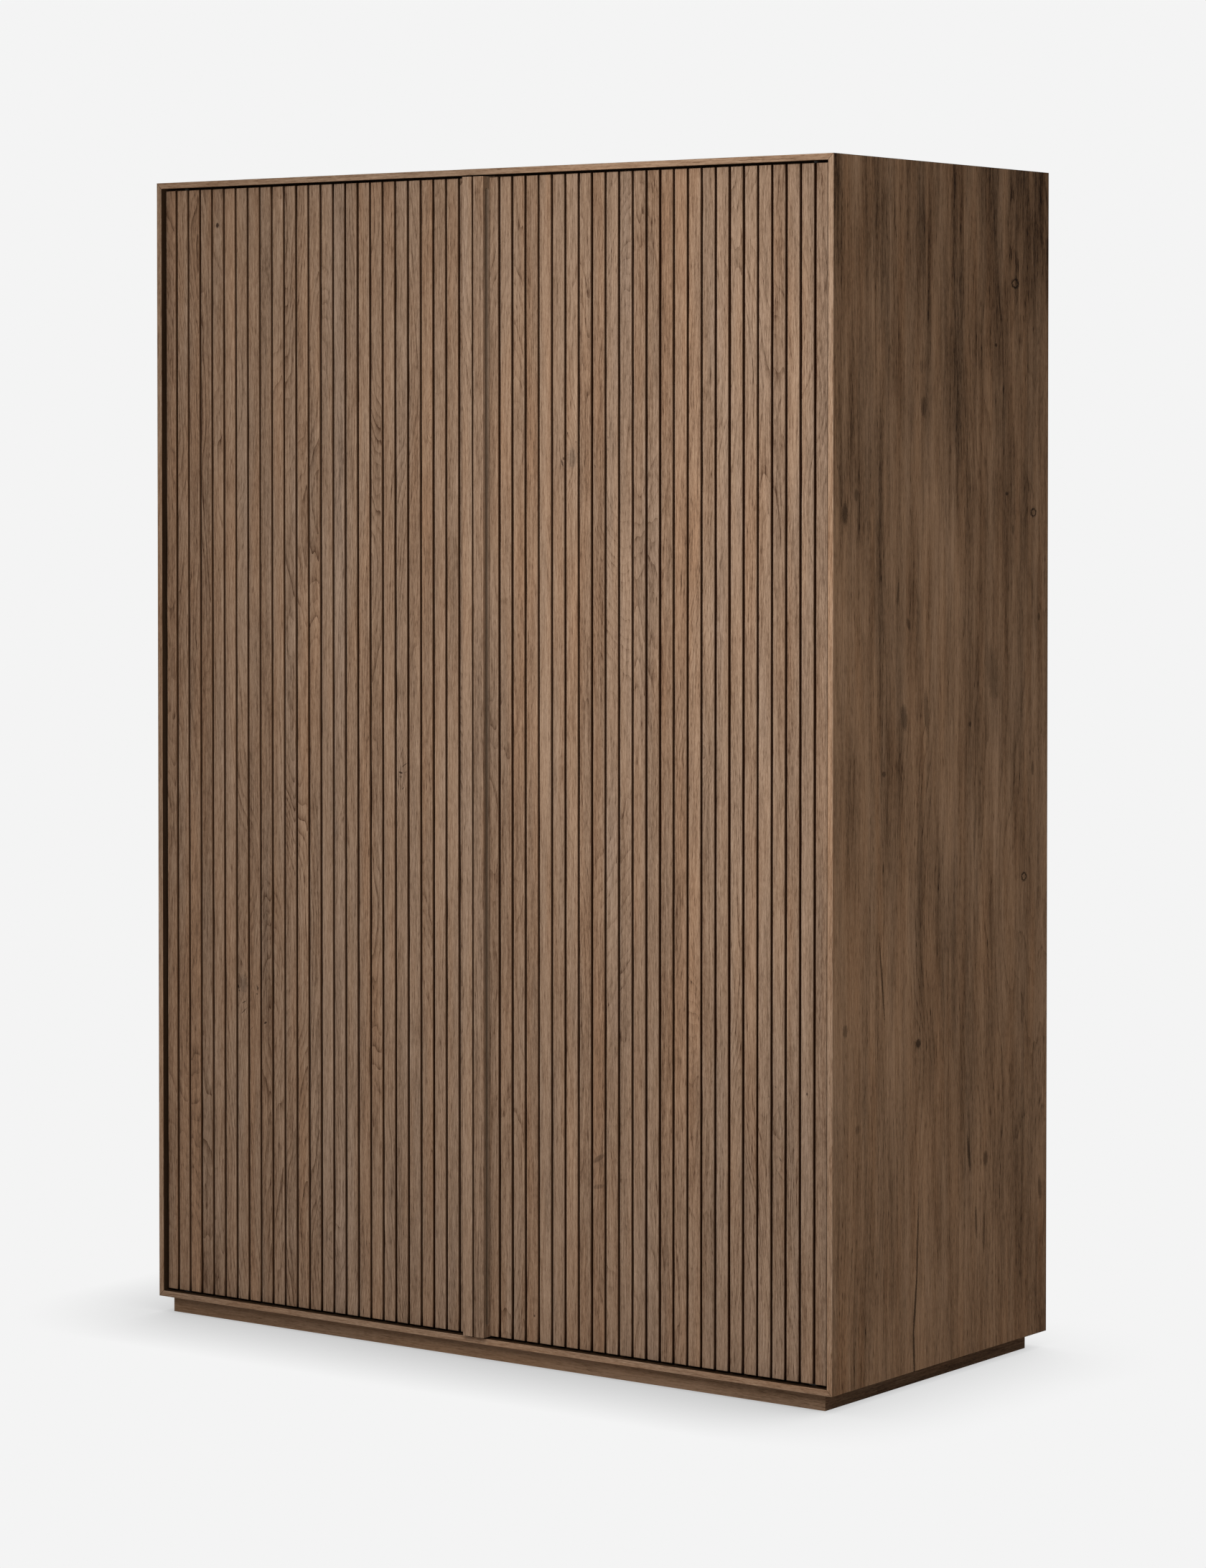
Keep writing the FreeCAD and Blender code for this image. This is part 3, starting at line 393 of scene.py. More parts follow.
FRONT_OAK = {"light": srgb(181, 149, 122), "dark": srgb(72, 51, 36)}
SIDE_OAK = {"light": srgb(186, 146, 112), "dark": srgb(32, 19, 10)}
INNER_OAK = {"light": srgb(172, 140, 110), "dark": srgb(84, 60, 42)}
PLINTH_OAK = {"light": srgb(142, 112, 87), "dark": srgb(50, 35, 25)}
RAW_WOOD = {"light": srgb(214, 184, 140), "dark": srgb(150, 116, 76)}


def new_material(name):
    material = bpy.data.materials.new(name)
    material.use_nodes = True
    material.node_tree.nodes.clear()
    return material, Graph(material.node_tree)


def shade(graph, height, relief, **sockets):
    """Ends a material: one shader, with a bump that is relief metres high."""
    shader = graph.tree.nodes.new("ShaderNodeBsdfPrincipled")
    for name, value in sockets.items():
        graph.feed(shader.inputs[name], value)
    graph.feed(shader.inputs["Normal"], graph.add("ShaderNodeBump", {"Height": height, "Distance": relief}))
    output = graph.tree.nodes.new("ShaderNodeOutputMaterial")
    graph.feed(output.inputs["Surface"], shader.outputs[0])


def shade_oak(graph, colour, oak, sheen=OAK_SHEEN):
    sockets = {"Base Color": colour, "Roughness": oak["Roughness"], "Specular IOR Level": sheen}
    shade(graph, oak["Height"], GRAIN_RELIEF, **sockets)


def object_place(graph):
    return graph.add("ShaderNodeTexCoord", output="Object")


def attribute(graph, name):
    return graph.add("ShaderNodeAttribute", output="Fac", attribute_name=name)


def along_grain(graph, place, grain):
    axes = graph.separate(place)
    return graph.combine(*(axes[index] for index in GRAIN_ORDER[grain]))


def ragged_edge(graph, vector):
    return graph.streaks(vector, ORIGIN, across=620.0, along=330.0, detail=3.0)


def add_knots(graph, vector, ragged, knots):
    """The summed swirl, halo and stain of several knots, each an across, a height, a size and a stain."""
    sums = {"Swirl": 0.0, "Halo": 0.0, "Stain": 0.0}
    for across, height, size, stain in knots:
        centre = (across, 0.0, height)
        knot = graph.group(knot_group, vector=vector, centre=centre, size=size * MM, ragged=ragged)
        strengths = {"Swirl": 1.0, "Halo": 1.0, "Stain": stain}
        for name, strength in strengths.items():
            sums[name] = graph.math("MULTIPLY_ADD", knot[name], strength, sums[name])
    return sums


def add_marks(graph, vector, ragged, marks):
    """The darkest of several marks.

    Each is an across, a height, a half length, a half width, a lean and a depth, and some are hollow."""
    darkest = 0.0
    for across, height, reach, width, lean, depth, *hollow in marks:
        turn = math.radians(lean)
        mark = graph.group(
            mark_group,
            vector=vector,
            centre=(across, 0.0, height),
            along=Vector((math.sin(turn), 0.0, math.cos(turn))) / (reach * MM),
            across=Vector((math.cos(turn), 0.0, -math.sin(turn))) / (width * MM),
            depth=depth,
            hollow=1.0 if hollow else 0.0,
            ragged=ragged)
        darkest = graph.math("MAXIMUM", mark["Mark"], darkest)
    return darkest


def board_oak(
        node, grain, colours, seed, pith_across=0.3, ring_width=0.0045, figure=0.28, streaks=0.30,
        tone=0.0, sheen=OAK_SHEEN):
    """Dresses one flat board in oak that is worn along its edges."""
    material, graph = new_material(f"{node}_oak")
    place = object_place(graph)
    low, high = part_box(node)
    worn = graph.group(edge_wear, vector=place, low=low, high=high, width=BOARD_WEAR)
    oak = graph.group(
        stained_oak,
        vector=along_grain(graph, place, grain),
        seed=seed,
        tone=tone,
        pith_across=pith_across,
        pith_depth=BOARD_PITH_DEPTH,
        ring_width=ring_width,
        figure=figure,
        streaks=streaks,
        wear=worn["Wear"],
        **colours)
    shade_oak(graph, oak["Color"], oak, sheen)
    dress(node, material)
    return material


def dress(node, material):
    """Sets the one material of a CAD node."""
    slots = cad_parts[node].data.materials
    slots.clear()
    slots.append(material)


def add_piece(name, bm, body, material):
    """Turns a bmesh into a smooth-shaded piece that rides on a body."""
    mesh = bpy.data.meshes.new(name)
    bm.to_mesh(mesh)
    bm.free()
    mesh.shade_smooth()
    mesh.materials.append(material)
    piece = bpy.data.objects.new(name, mesh)
    bpy.context.scene.collection.objects.link(piece)
    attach(piece, body)
    return piece


CREASE = math.radians(35)


def smooth_copy(node, name, body, material):
    """A piece with a CAD node's own shape, merged and shaded smooth between its creases."""
    bm = bmesh.new()
    bm.from_mesh(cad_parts[node].data)
    bmesh.ops.remove_doubles(bm, verts=bm.verts, dist=0.001 * MM)
    for face in bm.faces:
        face.smooth = True
    for edge in bm.edges:
        edge.smooth = len(edge.link_faces) == 2 and edge.calc_face_angle(0.0) < CREASE
    piece = add_piece(name, bm, body, material)
    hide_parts(node)


# Knots on the closed doors, where the photograph shows them: across, height, size in mm and stain.
DOOR_KNOTS = (
    (-0.162, 0.961, 9, 0.25),
    (0.191, 1.487, 9, 0.80),
    (-0.511, 0.584, 9, 0.80),
    (-0.102, 1.539, 5, 0.30),
    (-0.303, 0.860, 6, 0.30),
    (-0.327, 0.169, 6, 0.30),
    (0.246, 0.350, 7, 0.30),
    (0.455, 1.020, 5, 0.20),
    (0.597, 0.440, 8, 0.15),
)
# Dark marks there: across, height, half length and half width in mm, lean in degrees, depth of colour.
DOOR_MARKS = (
    (-0.165, 0.962, 3.8, 1.6, -74, 1.0),
    (-0.157, 0.975, 6.1, 0.9, 58, 0.8),
    (-0.155, 0.963, 3.3, 0.9, 71, 0.4),
    (-0.165, 0.955, 2.8, 1.8, 87, 0.5),
    (-0.170, 0.946, 5.3, 1.0, -11, 0.6),
    (-0.160, 0.936, 2.7, 0.9, 42, 0.8),
    (0.171, 1.479, 5.6, 1.6, -18, 0.8),
    (0.174, 1.486, 2.4, 2.0, -32, 0.7),
    (0.182, 1.527, 2.0, 1.1, -5, 0.6),
    (0.199, 1.513, 1.4, 1.1, -3, 0.6),
    (0.237, 1.474, 3.1, 1.2, -30, 0.5),
    (0.263, 1.520, 2.6, 2.0, 0, 0.35),
    (0.263, 1.501, 2.6, 2.0, 0, 0.35),
    (-0.523, 0.579, 2.5, 1.5, -6, 1.0),
    (-0.521, 0.572, 1.6, 1.3, 0, 0.8),
    (-0.480, 0.579, 5.7, 1.2, -12, 0.9),
    (-0.478, 0.579, 2.6, 1.0, 24, 0.7),
    (-0.481, 0.569, 1.5, 1.3, -43, 0.8),
    (-0.510, 0.553, 4.6, 1.1, 63, 0.8),
    (-0.510, 0.538, 7.5, 1.0, 49, 0.7),
    (-0.462, 0.521, 3.2, 1.7, 61, 1.0),
    (-0.493, 0.509, 4.1, 0.8, 45, 0.5),
    (-0.567, 1.884, 4.4, 3.2, 0, 1.0),
    (0.589, 0.501, 2.2, 1.1, -20, 0.6),
    (0.598, 0.452, 28.0, 1.2, -9, 0.4),
    (0.598, 0.388, 4.1, 1.2, -28, 0.7),
    (0.598, 0.362, 8.8, 1.2, -36, 0.4),
    (0.648, 0.495, 2.2, 1.6, 0, 0.8),
    (0.300, 0.249, 5.6, 0.9, -14, 0.5),
    (0.291, 0.193, 5.5, 0.9, -4, 0.5),
    (0.245, 0.356, 12.7, 4.0, 55, 0.5),
    (0.244, 0.310, 10.9, 3.4, 78, 0.4),
    (0.263, 0.393, 20.0, 1.4, 1, 0.35),
    (0.320, 0.357, 10.0, 1.0, 15, 0.35),
    (0.114, 0.085, 2.0, 1.6, 0, 0.8),
)
SLAT_ROUND = 1.6 * MM
SLAT_CUTS = 70
SLAT_SLACK = 0.3 * MM
SLAT_VALUES = ("plank", "pith", "depth", "figure", "tone", "hue", "across")
# The middle and the spread of a slat's tone and hue.
SLAT_TONE = (-0.025, 0.055)
SLAT_HUE = (0.0, 0.22)
# How many neighbouring slats come from one plank, and the share of planks cut close to the pith.
PLANK_RUNS = (1, 2, 2, 3, 3)
PITH_SHARE = 0.35
# Past this share of its half width, the front of a slat counts as its edge.
SLAT_EDGE = 0.8
RUBS_PER_METRE = 14.0
RUB_START = 0.15
RUB_DEPTH = 0.9 * MM
# How far a rub goes back from the front, as a share of how far it goes in from the side.
RUB_BACK = 0.6


def slat_edges(node):
    """The left and right edge of each slat, from the corners at the back of the CAD node."""
    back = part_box(node)[1].y
    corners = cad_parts[node].data.vertices
    places = sorted({round(corner.co.x, 5) for corner in corners if back - corner.co.y < 0.1 * MM})
    return list(zip(places[::2], places[1::2]))


def add_slat(left, right, low, high):
    """One slat: a strip with its front edges rounded over, cut across so that wear can move its edges."""
    size = Vector((right - left, high.y - low.y, high.z - low.z))
    middle = Vector(((left + right) / 2, (low.y + high.y) / 2, (low.z + high.z) / 2))
    slat = bmesh.new()
    strip = Matrix.Translation(middle) @ Matrix.Diagonal((*size, 1.0))
    bmesh.ops.create_cube(slat, size=1.0, matrix=strip)
    front = [edge for edge in slat.edges if all(corner.co.y < middle.y for corner in edge.verts)]
    bmesh.ops.bevel(
        slat, geom=front, offset=SLAT_ROUND, offset_type="OFFSET", segments=4, profile=0.5,
        affect="EDGES", material=-1)
    long_edges = [edge for edge in slat.edges if edge.calc_length() > size.z / 2]
    bmesh.ops.subdivide_edges(slat, edges=long_edges, cuts=SLAT_CUTS, use_grid_fill=True)
    return slat, middle, size


def wear_slat(slat, middle, size, seed):
    """Rubs the front edges back a little, unevenly, as wire brushing leaves them."""
    front = middle.y - size.y / 2
    for corner in slat.verts:
        across = (corner.co.x - middle.x) / (size.x / 2)
        if abs(across) < SLAT_EDGE or corner.co.y - front > 2 * SLAT_ROUND:
            continue
        this_edge = seed * 7.3 + math.copysign(5.0, across)
        rub = noise.noise(Vector((this_edge, 3.1, corner.co.z * RUBS_PER_METRE)))
        depth = max(0.0, rub - RUB_START) * RUB_DEPTH
        corner.co.x -= math.copysign(depth, across)
        corner.co.y += depth * RUB_BACK


def draw_plank(draw, left):
    """The figure of one plank, which a run of neighbouring slats is sawn from."""
    close_to_pith = draw.random() < PITH_SHARE
    beside = draw.uniform(-12, 12) if close_to_pith else draw.choice((-1, 1)) * draw.uniform(50, 160)
    return {
        "plank": draw.uniform(0.0, 60.0),
        "pith": left + beside * MM,
        "depth": draw.uniform(15, 60) * MM,
        "figure": draw.uniform(0.45, 0.75) if close_to_pith else draw.uniform(0.15, 0.45),
    }


def make_slats(side, material):
    """The slats of one door, sawn in runs from the same plank, each run with its own figure."""
    node = f"{side}_door_slats"
    low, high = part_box(node)
    edges = slat_edges(node)
    draw = random.Random(f"{side} slats")
    row = bmesh.new()
    left_of_plank = 0
    for index, (left, right) in enumerate(edges):
        if left_of_plank == 0:
            left_of_plank = draw.choice(PLANK_RUNS)
            values = draw_plank(draw, left)
        left_of_plank -= 1
        values["tone"] = draw.gauss(*SLAT_TONE)
        values["hue"] = draw.gauss(*SLAT_HUE)
        slack_left, slack_right = (draw.uniform(-SLAT_SLACK, SLAT_SLACK) for _ in range(2))
        if index > 0:
            left += slack_left
        if index < len(edges) - 1:
            right += slack_right
        slat, middle, size = add_slat(left, right, low, high)
        wear_slat(slat, middle, size, values["plank"] + index)
        layers = {name: slat.verts.layers.float.new(name) for name in SLAT_VALUES}
        for corner in slat.verts:
            values["across"] = (corner.co.x - middle.x) / (size.x / 2)
            for name, layer in layers.items():
                corner[layer] = values[name]
        one_slat = bpy.data.meshes.new("one_slat")
        slat.to_mesh(one_slat)
        slat.free()
        row.from_mesh(one_slat)
        bpy.data.meshes.remove(one_slat)
    piece = add_piece(f"{side}_slats", row, f"{side}_door", material)
    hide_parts(node)


# Dark stain with painted shade for the gaps between the slats.
GAP_STAIN_AND_SHADE = srgb(86, 55, 31)
# Dark stain for the mitre seams, and painted shade for the lip's faces beside the doors.
SEAM_STAIN_AND_REVEAL_SHADE = srgb(36, 23, 13)
# Painted shade in the finger coves of the grips.
COVE_SHADE = srgb(84, 68, 53)
# Painted shade on the flanks where the grips of the two doors meet.
MEETING_SHADE_TINT = srgb(140, 127, 115)
GRIP_TONES = {"left": 0.09, "right": -0.05}


def slat_oak():
    """Oak that changes from slat to slat, with dark stain and painted shade in the gaps between them."""
    material, graph = new_material("slat_oak")
    place = object_place(graph)
    x, y, z = graph.separate(place)
    flat = graph.combine(x, 0.0, z)
    ragged = ragged_edge(graph, flat)
    knots = add_knots(graph, flat, ragged, DOOR_KNOTS)
    marks = add_marks(graph, flat, ragged, DOOR_MARKS)
    plank, pith, depth, figure, tone, hue, across = (attribute(graph, name) for name in SLAT_VALUES)
    rubbed = graph.fade(graph.math("ABSOLUTE", across), 0.84, 0.96, high=0.55)
    oak = graph.group(
        stained_oak,
        vector=place,
        seed=plank,
        tone=tone,
        hue=hue,
        pith_across=pith,
        pith_depth=depth,
        ring_width=0.0026,
        figure=graph.math("MULTIPLY_ADD", knots["Halo"], 0.12, figure),
        streaks=0.26,
        swirl=knots["Swirl"],
        knot=marks,
        stain=knots["Stain"],
        wear=rubbed,
        **FRONT_OAK)
    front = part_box("left_door_slats")[0].y
    # Dark stain with painted shade on the flanks of the slats, behind their fronts.
    gap_stain_and_shade = graph.fade(y, front, front + 2.4 * MM, high=0.85)
    shade_oak(graph, graph.mix(gap_stain_and_shade, oak["Color"], GAP_STAIN_AND_SHADE), oak)
    return material


def grip_oak(side):
    """Oak for one grip, with painted shade that makes the finger cove and both flanks darker than the
    front.
    """
    node = f"{side}_door_grip"
    low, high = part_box(node)
    material, graph = new_material(f"{side}_grip_oak")
    place = object_place(graph)
    x, y, _ = graph.separate(place)
    worn = graph.group(edge_wear, vector=place, low=low, high=high, width=BOARD_WEAR)
    oak = graph.group(
        stained_oak,
        vector=place,
        seed=71.0 + len(side),
        tone=GRIP_TONES[side],
        pith_across=0.2,
        pith_depth=BOARD_PITH_DEPTH,
        ring_width=0.0045,
        figure=0.28,
        streaks=0.2,
        wear=worn["Wear"],
        **FRONT_OAK)
    near, far = sorted((abs(low.x), abs(high.x)))
    from_middle = graph.math("ABSOLUTE", x)
    # Painted shade, deepest in the finger cove and lighter on the rest of the outer flank.
    shade_into_cove = graph.fade(from_middle, far, far - 4 * MM, low=0.35, high=0.8)
    behind_front = graph.fade(y, low.y + 1 * MM, low.y + 3 * MM)
    cove_shade_mask = graph.math("MULTIPLY", shade_into_cove, behind_front)
    # Painted shade on the flank that meets the other door.
    on_meeting_flank = graph.fade(from_middle, near + 0.6 * MM, near + 0.2 * MM)
    with_cove_shade = graph.mix(cove_shade_mask, oak["Color"], COVE_SHADE)
    shaded_meeting_flank = graph.tinted(oak["Color"], MEETING_SHADE_TINT)
    shade_oak(graph, graph.mix(on_meeting_flank, with_cove_shade, shaded_meeting_flank), oak)
    return material


def two_tone_board(side):
    """The board behind the slats: stained dark in front, with painted shade for the gaps, and plain oak
    behind.
    """
    node = f"{side}_door_board"
    material, graph = new_material(f"{node}_oak")
    place = object_place(graph)
    oak = graph.group(
        stained_oak,
        vector=place,
        seed=21.0 + len(side),
        pith_across=0.5,
        pith_depth=BOARD_PITH_DEPTH,
        ring_width=0.005,
        figure=0.2,
        streaks=0.25,
        **INNER_OAK)
    _, y, _ = graph.separate(place)
    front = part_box(node)[0].y
    behind = graph.fade(y, front + 1 * MM, front + 2 * MM)
    # The front takes the dark stain with painted shade that shows through the gaps.
    stain = graph.mix(0.93, oak["Color"], GAP_STAIN_AND_SHADE)
    shade_oak(graph, graph.mix(behind, stain, oak["Color"]), oak)
    dress(node, material)


# Knots on the right side, as distance back from the middle, height, size in mm and stain.
SIDE_KNOTS = (
    (0.223, 1.773, 9, 0.3),
    (-0.286, 1.402, 9, 0.4),
    (0.283, 1.396, 7, 0.4),
    (-0.114, 1.075, 9, 0.3),
    (0.255, 0.794, 6, 0.2),
    (-0.071, 0.552, 7, 0.4),
)
# Dark marks there, in the same terms as those on the doors. The hollow ones are rings about a knot,
# and the last three are one split, up from the foot.
SIDE_MARKS = (
    (0.223, 1.773, 8.0, 11.2, 0, 1.2, "hollow"),
    (0.163, 1.671, 3.0, 3.5, 0, 0.8),
    (-0.057, 1.569, 15.0, 8.0, 0, 0.55),
    (-0.064, 1.633, 10.0, 4.8, 0, 0.35),
    (-0.286, 1.402, 17.0, 7.2, 0, 0.6),
    (-0.254, 1.430, 10.0, 5.6, 0, 0.5),
    (0.283, 1.396, 7.0, 8.8, 0, 1.2, "hollow"),
    (0.198, 1.428, 3.2, 4.2, 0, 0.8),
    (0.218, 1.369, 8.0, 3.2, 0, 0.5),
    (-0.133, 1.273, 20.0, 3.2, 4, 0.6),
    (-0.102, 1.224, 10.0, 4.8, -22, 0.6),
    (0.153, 1.138, 44.0, 17.6, -14, 0.3),
    (-0.114, 1.075, 21.0, 8.0, -8, 0.5),
    (-0.048, 1.082, 34.0, 7.2, -5, 0.45),
    (0.085, 1.055, 4.5, 3.8, 0, 0.6),
    (-0.173, 0.989, 4.5, 5.4, 0, 0.6),
    (0.301, 1.223, 6.5, 3.8, 0, 0.6),
    (0.282, 0.973, 12.0, 4.2, 0, 0.5),
    (0.255, 0.794, 7.0, 8.0, 0, 1.2, "hollow"),
    (-0.178, 0.664, 66.0, 2.6, -7, 0.7),
    (-0.284, 0.594, 10.0, 6.4, 0, 0.5),
    (-0.066, 0.771, 180.0, 8.0, -1, 0.30),
    (-0.071, 0.552, 7.0, 7.2, 0, 0.8),
    (0.100, 0.878, 50.0, 3.2, 3, 0.4),
    (0.104, 0.747, 90.0, 7.2, 1, 0.30),
    (0.153, 0.734, 80.0, 7.2, 0, 0.30),
    (0.084, 0.356, 30.0, 3.8, -8, 0.7),
    (0.135, 0.341, 12.0, 7.2, 0, 0.6),
    (-0.249, 0.435, 7.0, 5.6, 0, 0.4),
    (0.106, 0.242, 24.0, 3.5, -3, 0.6),
    (0.131, 0.223, 32.0, 3.8, 0, 0.5),
    (0.308, 0.270, 20.0, 5.6, -5, 0.5),
    (-0.072, 0.227, 74.0, 2.3, 2, 0.75),
    (-0.079, 0.131, 62.0, 2.8, 6, 0.85),
    (-0.082, 0.059, 50.0, 2.6, -2, 0.85),
)
LIPPING = 1.4 * MM
MITRE_SEAM = 0.7 * MM
VENEER_WEAR = 1.4 * MM
# The tone, streaks and clouds of a panel that lies flat.
FLAT_PANEL = (0.0, 0.4, 0.7)
case_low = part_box("bottom_panel")[0]
case_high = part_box("top_panel")[1]
door_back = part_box("left_door_board")[1].y


def into_case(graph, x, z):
    """How far in a place lies from the nearer side of the case, and from its top or bottom."""
    from_side = graph.math("SUBTRACT", case_high.x, graph.math("ABSOLUTE", x))
    from_foot = graph.math("SUBTRACT", z, case_low.z)
    from_top = graph.math("SUBTRACT", case_high.z, z)
    return from_side, graph.math("MINIMUM", from_foot, from_top)


def seams_and_reveal_shade(graph, x, y, z):
    """How dark the mitre seams at the front corners are, and how much painted shade falls on the faces of
    the lip beside the doors.
    """
    from_side, from_end = into_case(graph, x, z)
    from_seam = graph.math("ABSOLUTE", graph.math("SUBTRACT", from_side, from_end))
    seam = graph.fade(from_seam, MITRE_SEAM, 0.4 * MITRE_SEAM, high=0.8)
    front = case_low.y
    behind_front = graph.fade(y, front + 0.2 * MM, front + 1.5 * MM)
    before_door_back = graph.fade(y, door_back + 4 * MM, door_back)
    beside_door = graph.math("MULTIPLY", behind_front, before_door_back)
    # Painted shade on the lip's faces beside the doors, in the reveal.
    inside = graph.fade(graph.math("MINIMUM", from_side, from_end), 4 * MM, 8 * MM, high=0.92)
    return graph.math("MAXIMUM", seam, graph.math("MULTIPLY", inside, beside_door))


def upright_fades(graph, y, z, back):
    """The tone, streaks and clouds of a side panel.

    It is streaked most boldly near the top and is darker there; toward the back and at the foot it is
    darkened by painted shade."""
    toward_back = graph.fade(y, 0.05, back)
    # Painted shade in the low back corner.
    low_back_shade = graph.math("MULTIPLY", toward_back, graph.fade(z, 0.5, 0.03, high=-0.14))
    tone = graph.total(
        graph.fade(z, 1.1, 1.9, low=0.04, high=-0.11),
        # Painted shade toward the foot and toward the back.
        graph.fade(z, 0.9, 0.1, high=-0.06),
        graph.fade(y, 0.1, back, high=-0.05),
        low_back_shade)
    streaks = graph.fade(z, 0.2, 1.7, low=0.34, high=0.54)
    clouds = graph.fade(z, 0.2, 1.7, low=0.75, high=1.2)
    return tone, streaks, clouds


def panel_oak(node, grain, seed, knots=(), marks=()):
    """A case panel: veneer with broad streaks, and a lighter solid lipping along its front edge."""
    low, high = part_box(node)
    material, graph = new_material(f"{node}_oak")
    place = object_place(graph)
    x, y, z = graph.separate(place)
    vector = graph.combine(y, x, z) if grain == "Z" else along_grain(graph, place, grain)
    flat = graph.combine(y, 0.0, z)
    ragged = ragged_edge(graph, flat)
    found = add_knots(graph, flat, ragged, knots)
    worn = graph.group(edge_wear, vector=place, low=low, high=high, width=VENEER_WEAR)
    tone, streaks, clouds = upright_fades(graph, y, z, high.y) if grain == "Z" else FLAT_PANEL
    veneer = graph.group(
        stained_oak,
        vector=vector,
        seed=seed,
        tone=tone,
        pith_across=0.42,
        pith_depth=0.07,
        ring_width=0.006,
        figure=0.22,
        streaks=streaks,
        clouds=clouds,
        fibres=1.4,
        swirl=graph.math("MULTIPLY", found["Swirl"], 0.2),
        knot=add_marks(graph, flat, ragged, marks),
        stain=found["Stain"],
        wear=worn["Wear"],
        **SIDE_OAK)
    lipping = graph.group(
        stained_oak,
        vector=along_grain(graph, place, grain),
        seed=seed + 27.0,
        tone=0.09,
        hue=0.4,
        pith_across=0.4,
        pith_depth=0.03,
        ring_width=0.003,
        figure=0.25,
        streaks=0.2,
        wear=worn["Wear"],
        **FRONT_OAK)
    on_lipping = graph.fade(y, low.y + LIPPING, low.y + 0.7 * LIPPING)
    clean = graph.mix(on_lipping, veneer["Color"], lipping["Color"])
    # Dark mitre seams, and painted shade on the lip's faces beside the doors.
    stained = graph.mix(seams_and_reveal_shade(graph, x, y, z), clean, SEAM_STAIN_AND_REVEAL_SHADE)
    shade_oak(graph, stained, veneer, VENEER_SHEEN)
    dress(node, material)


# Dark grease with painted shade about the pivot pins.
GREASE_AND_SHADE = srgb(34, 30, 26)
GREASE_AND_SHADE_REACH = 6 * MM
GREASE_SHEEN = 0.1


def metal(name, colour, roughness, scale, grease_and_shade_axis=None):
    """Plated metal with fine rubbing marks, and dark grease with painted shade about an upright axis where
    one is given.
    """
    material, graph = new_material(name)
    place = object_place(graph)
    marks = graph.speckle(place, scale, detail=4.0)
    dull = tuple(0.7 * level for level in colour[:3]) + (1.0,)
    plating = graph.mix(graph.fade(marks, 0.4, 0.7, high=0.5), colour, dull)
    sockets = {
        "Base Color": plating,
        "Metallic": 1.0,
        "Roughness": graph.fade(marks, 0.3, 0.7, low=roughness, high=roughness + 0.2),
        "Specular IOR Level": GREASE_SHEEN,
    }
    if grease_and_shade_axis is not None:
        x, y, _ = graph.separate(graph.vector_math("SUBTRACT", place, grease_and_shade_axis))
        from_axis = graph.vector_math("LENGTH", graph.combine(x, y, 0.0))
        # Dark grease with painted shade about the pivot pin.
        grease_and_shade_mask = graph.fade(from_axis, GREASE_AND_SHADE_REACH, 0.8 * GREASE_AND_SHADE_REACH, high=0.95)
        sockets["Base Color"] = graph.mix(grease_and_shade_mask, plating, GREASE_AND_SHADE)
        sockets["Metallic"] = graph.math("SUBTRACT", 1.0, grease_and_shade_mask)
    shade(graph, marks, relief=0.01 * MM, **sockets)
    return material


def washer_nylon():
    """Black moulded nylon with a faint grain."""
    material, graph = new_material("washer_nylon")
    grain = graph.speckle(object_place(graph), 1500.0)
    sockets = {
        "Base Color": graph.mix(graph.fade(grain, 0.3, 0.7), srgb(46, 42, 38), srgb(32, 30, 28)),
        "Roughness": graph.fade(grain, 0.3, 0.7, low=0.40, high=0.58),
    }
    shade(graph, grain, relief=0.03 * MM, **sockets)
    return material


def stop_pad_felt():
    """Short dark felt."""
    material, graph = new_material("stop_pad_felt")
    fluff = graph.speckle(object_place(graph), 2600.0, detail=4.0)
    sockets = {
        "Base Color": graph.mix(fluff, srgb(36, 31, 28), srgb(78, 70, 63)),
        "Roughness": graph.fade(fluff, 0.2, 0.8, low=0.85),
    }
    shade(graph, fluff, relief=0.3 * MM, **sockets)
    return material


# Each rail of the plinth: its place, the way its grain runs, its seed and its tone. The front rail's higher
# tone is painted light, and the lower tone of the side rails is painted shade.
PLINTH_RAILS = (
    ("front", "X", 3.0, 0.29),
    ("back", "X", 7.0, 0.0),
    ("left", "Y", 13.0, -0.11),
    ("right", "Y", 19.0, -0.11),
)


def dress_case():
    panel_oak("top_panel", "X", 11.0)
    panel_oak("bottom_panel", "X", 17.0)
    panel_oak("left_side_panel", "Z", 6.0)
    panel_oak("right_side_panel", "Z", 4.0, SIDE_KNOTS, SIDE_MARKS)
    board_oak("centre_partition", "Z", INNER_OAK, 23.0)
    for where, grain, seed, tone in PLINTH_RAILS:
        rail = f"plinth_{where}_rail"
        board_oak(rail, grain, PLINTH_OAK, seed, ring_width=0.004, tone=tone, sheen=VENEER_SHEEN)
    for side in SIDES:
        for number in (1, 2, 3):
            shelf = f"{side}_shelf_{number}"
            seed = 5.0 * number + len(side)
            board_oak(shelf, "X", INNER_OAK, seed, pith_across=0.2 * number - 0.3)
        board_oak(f"{side}_shelf_battens", "Y", INNER_OAK, 41.0 + len(side), tone=-0.05)
        board_oak(f"{side}_back_board", "Z", INNER_OAK, 51.0 + len(side), ring_width=0.007, figure=0.4)
    raw_wood = board_oak("plinth_corner_blocks", "X", RAW_WOOD, 61.0)
    dress("mitre_splines", raw_wood)
    nickel = metal("magnet_nickel", srgb(150, 148, 142), roughness=0.25, scale=900.0)
    dress("catch_magnets", nickel)
    dress("door_stop_pads", stop_pad_felt())


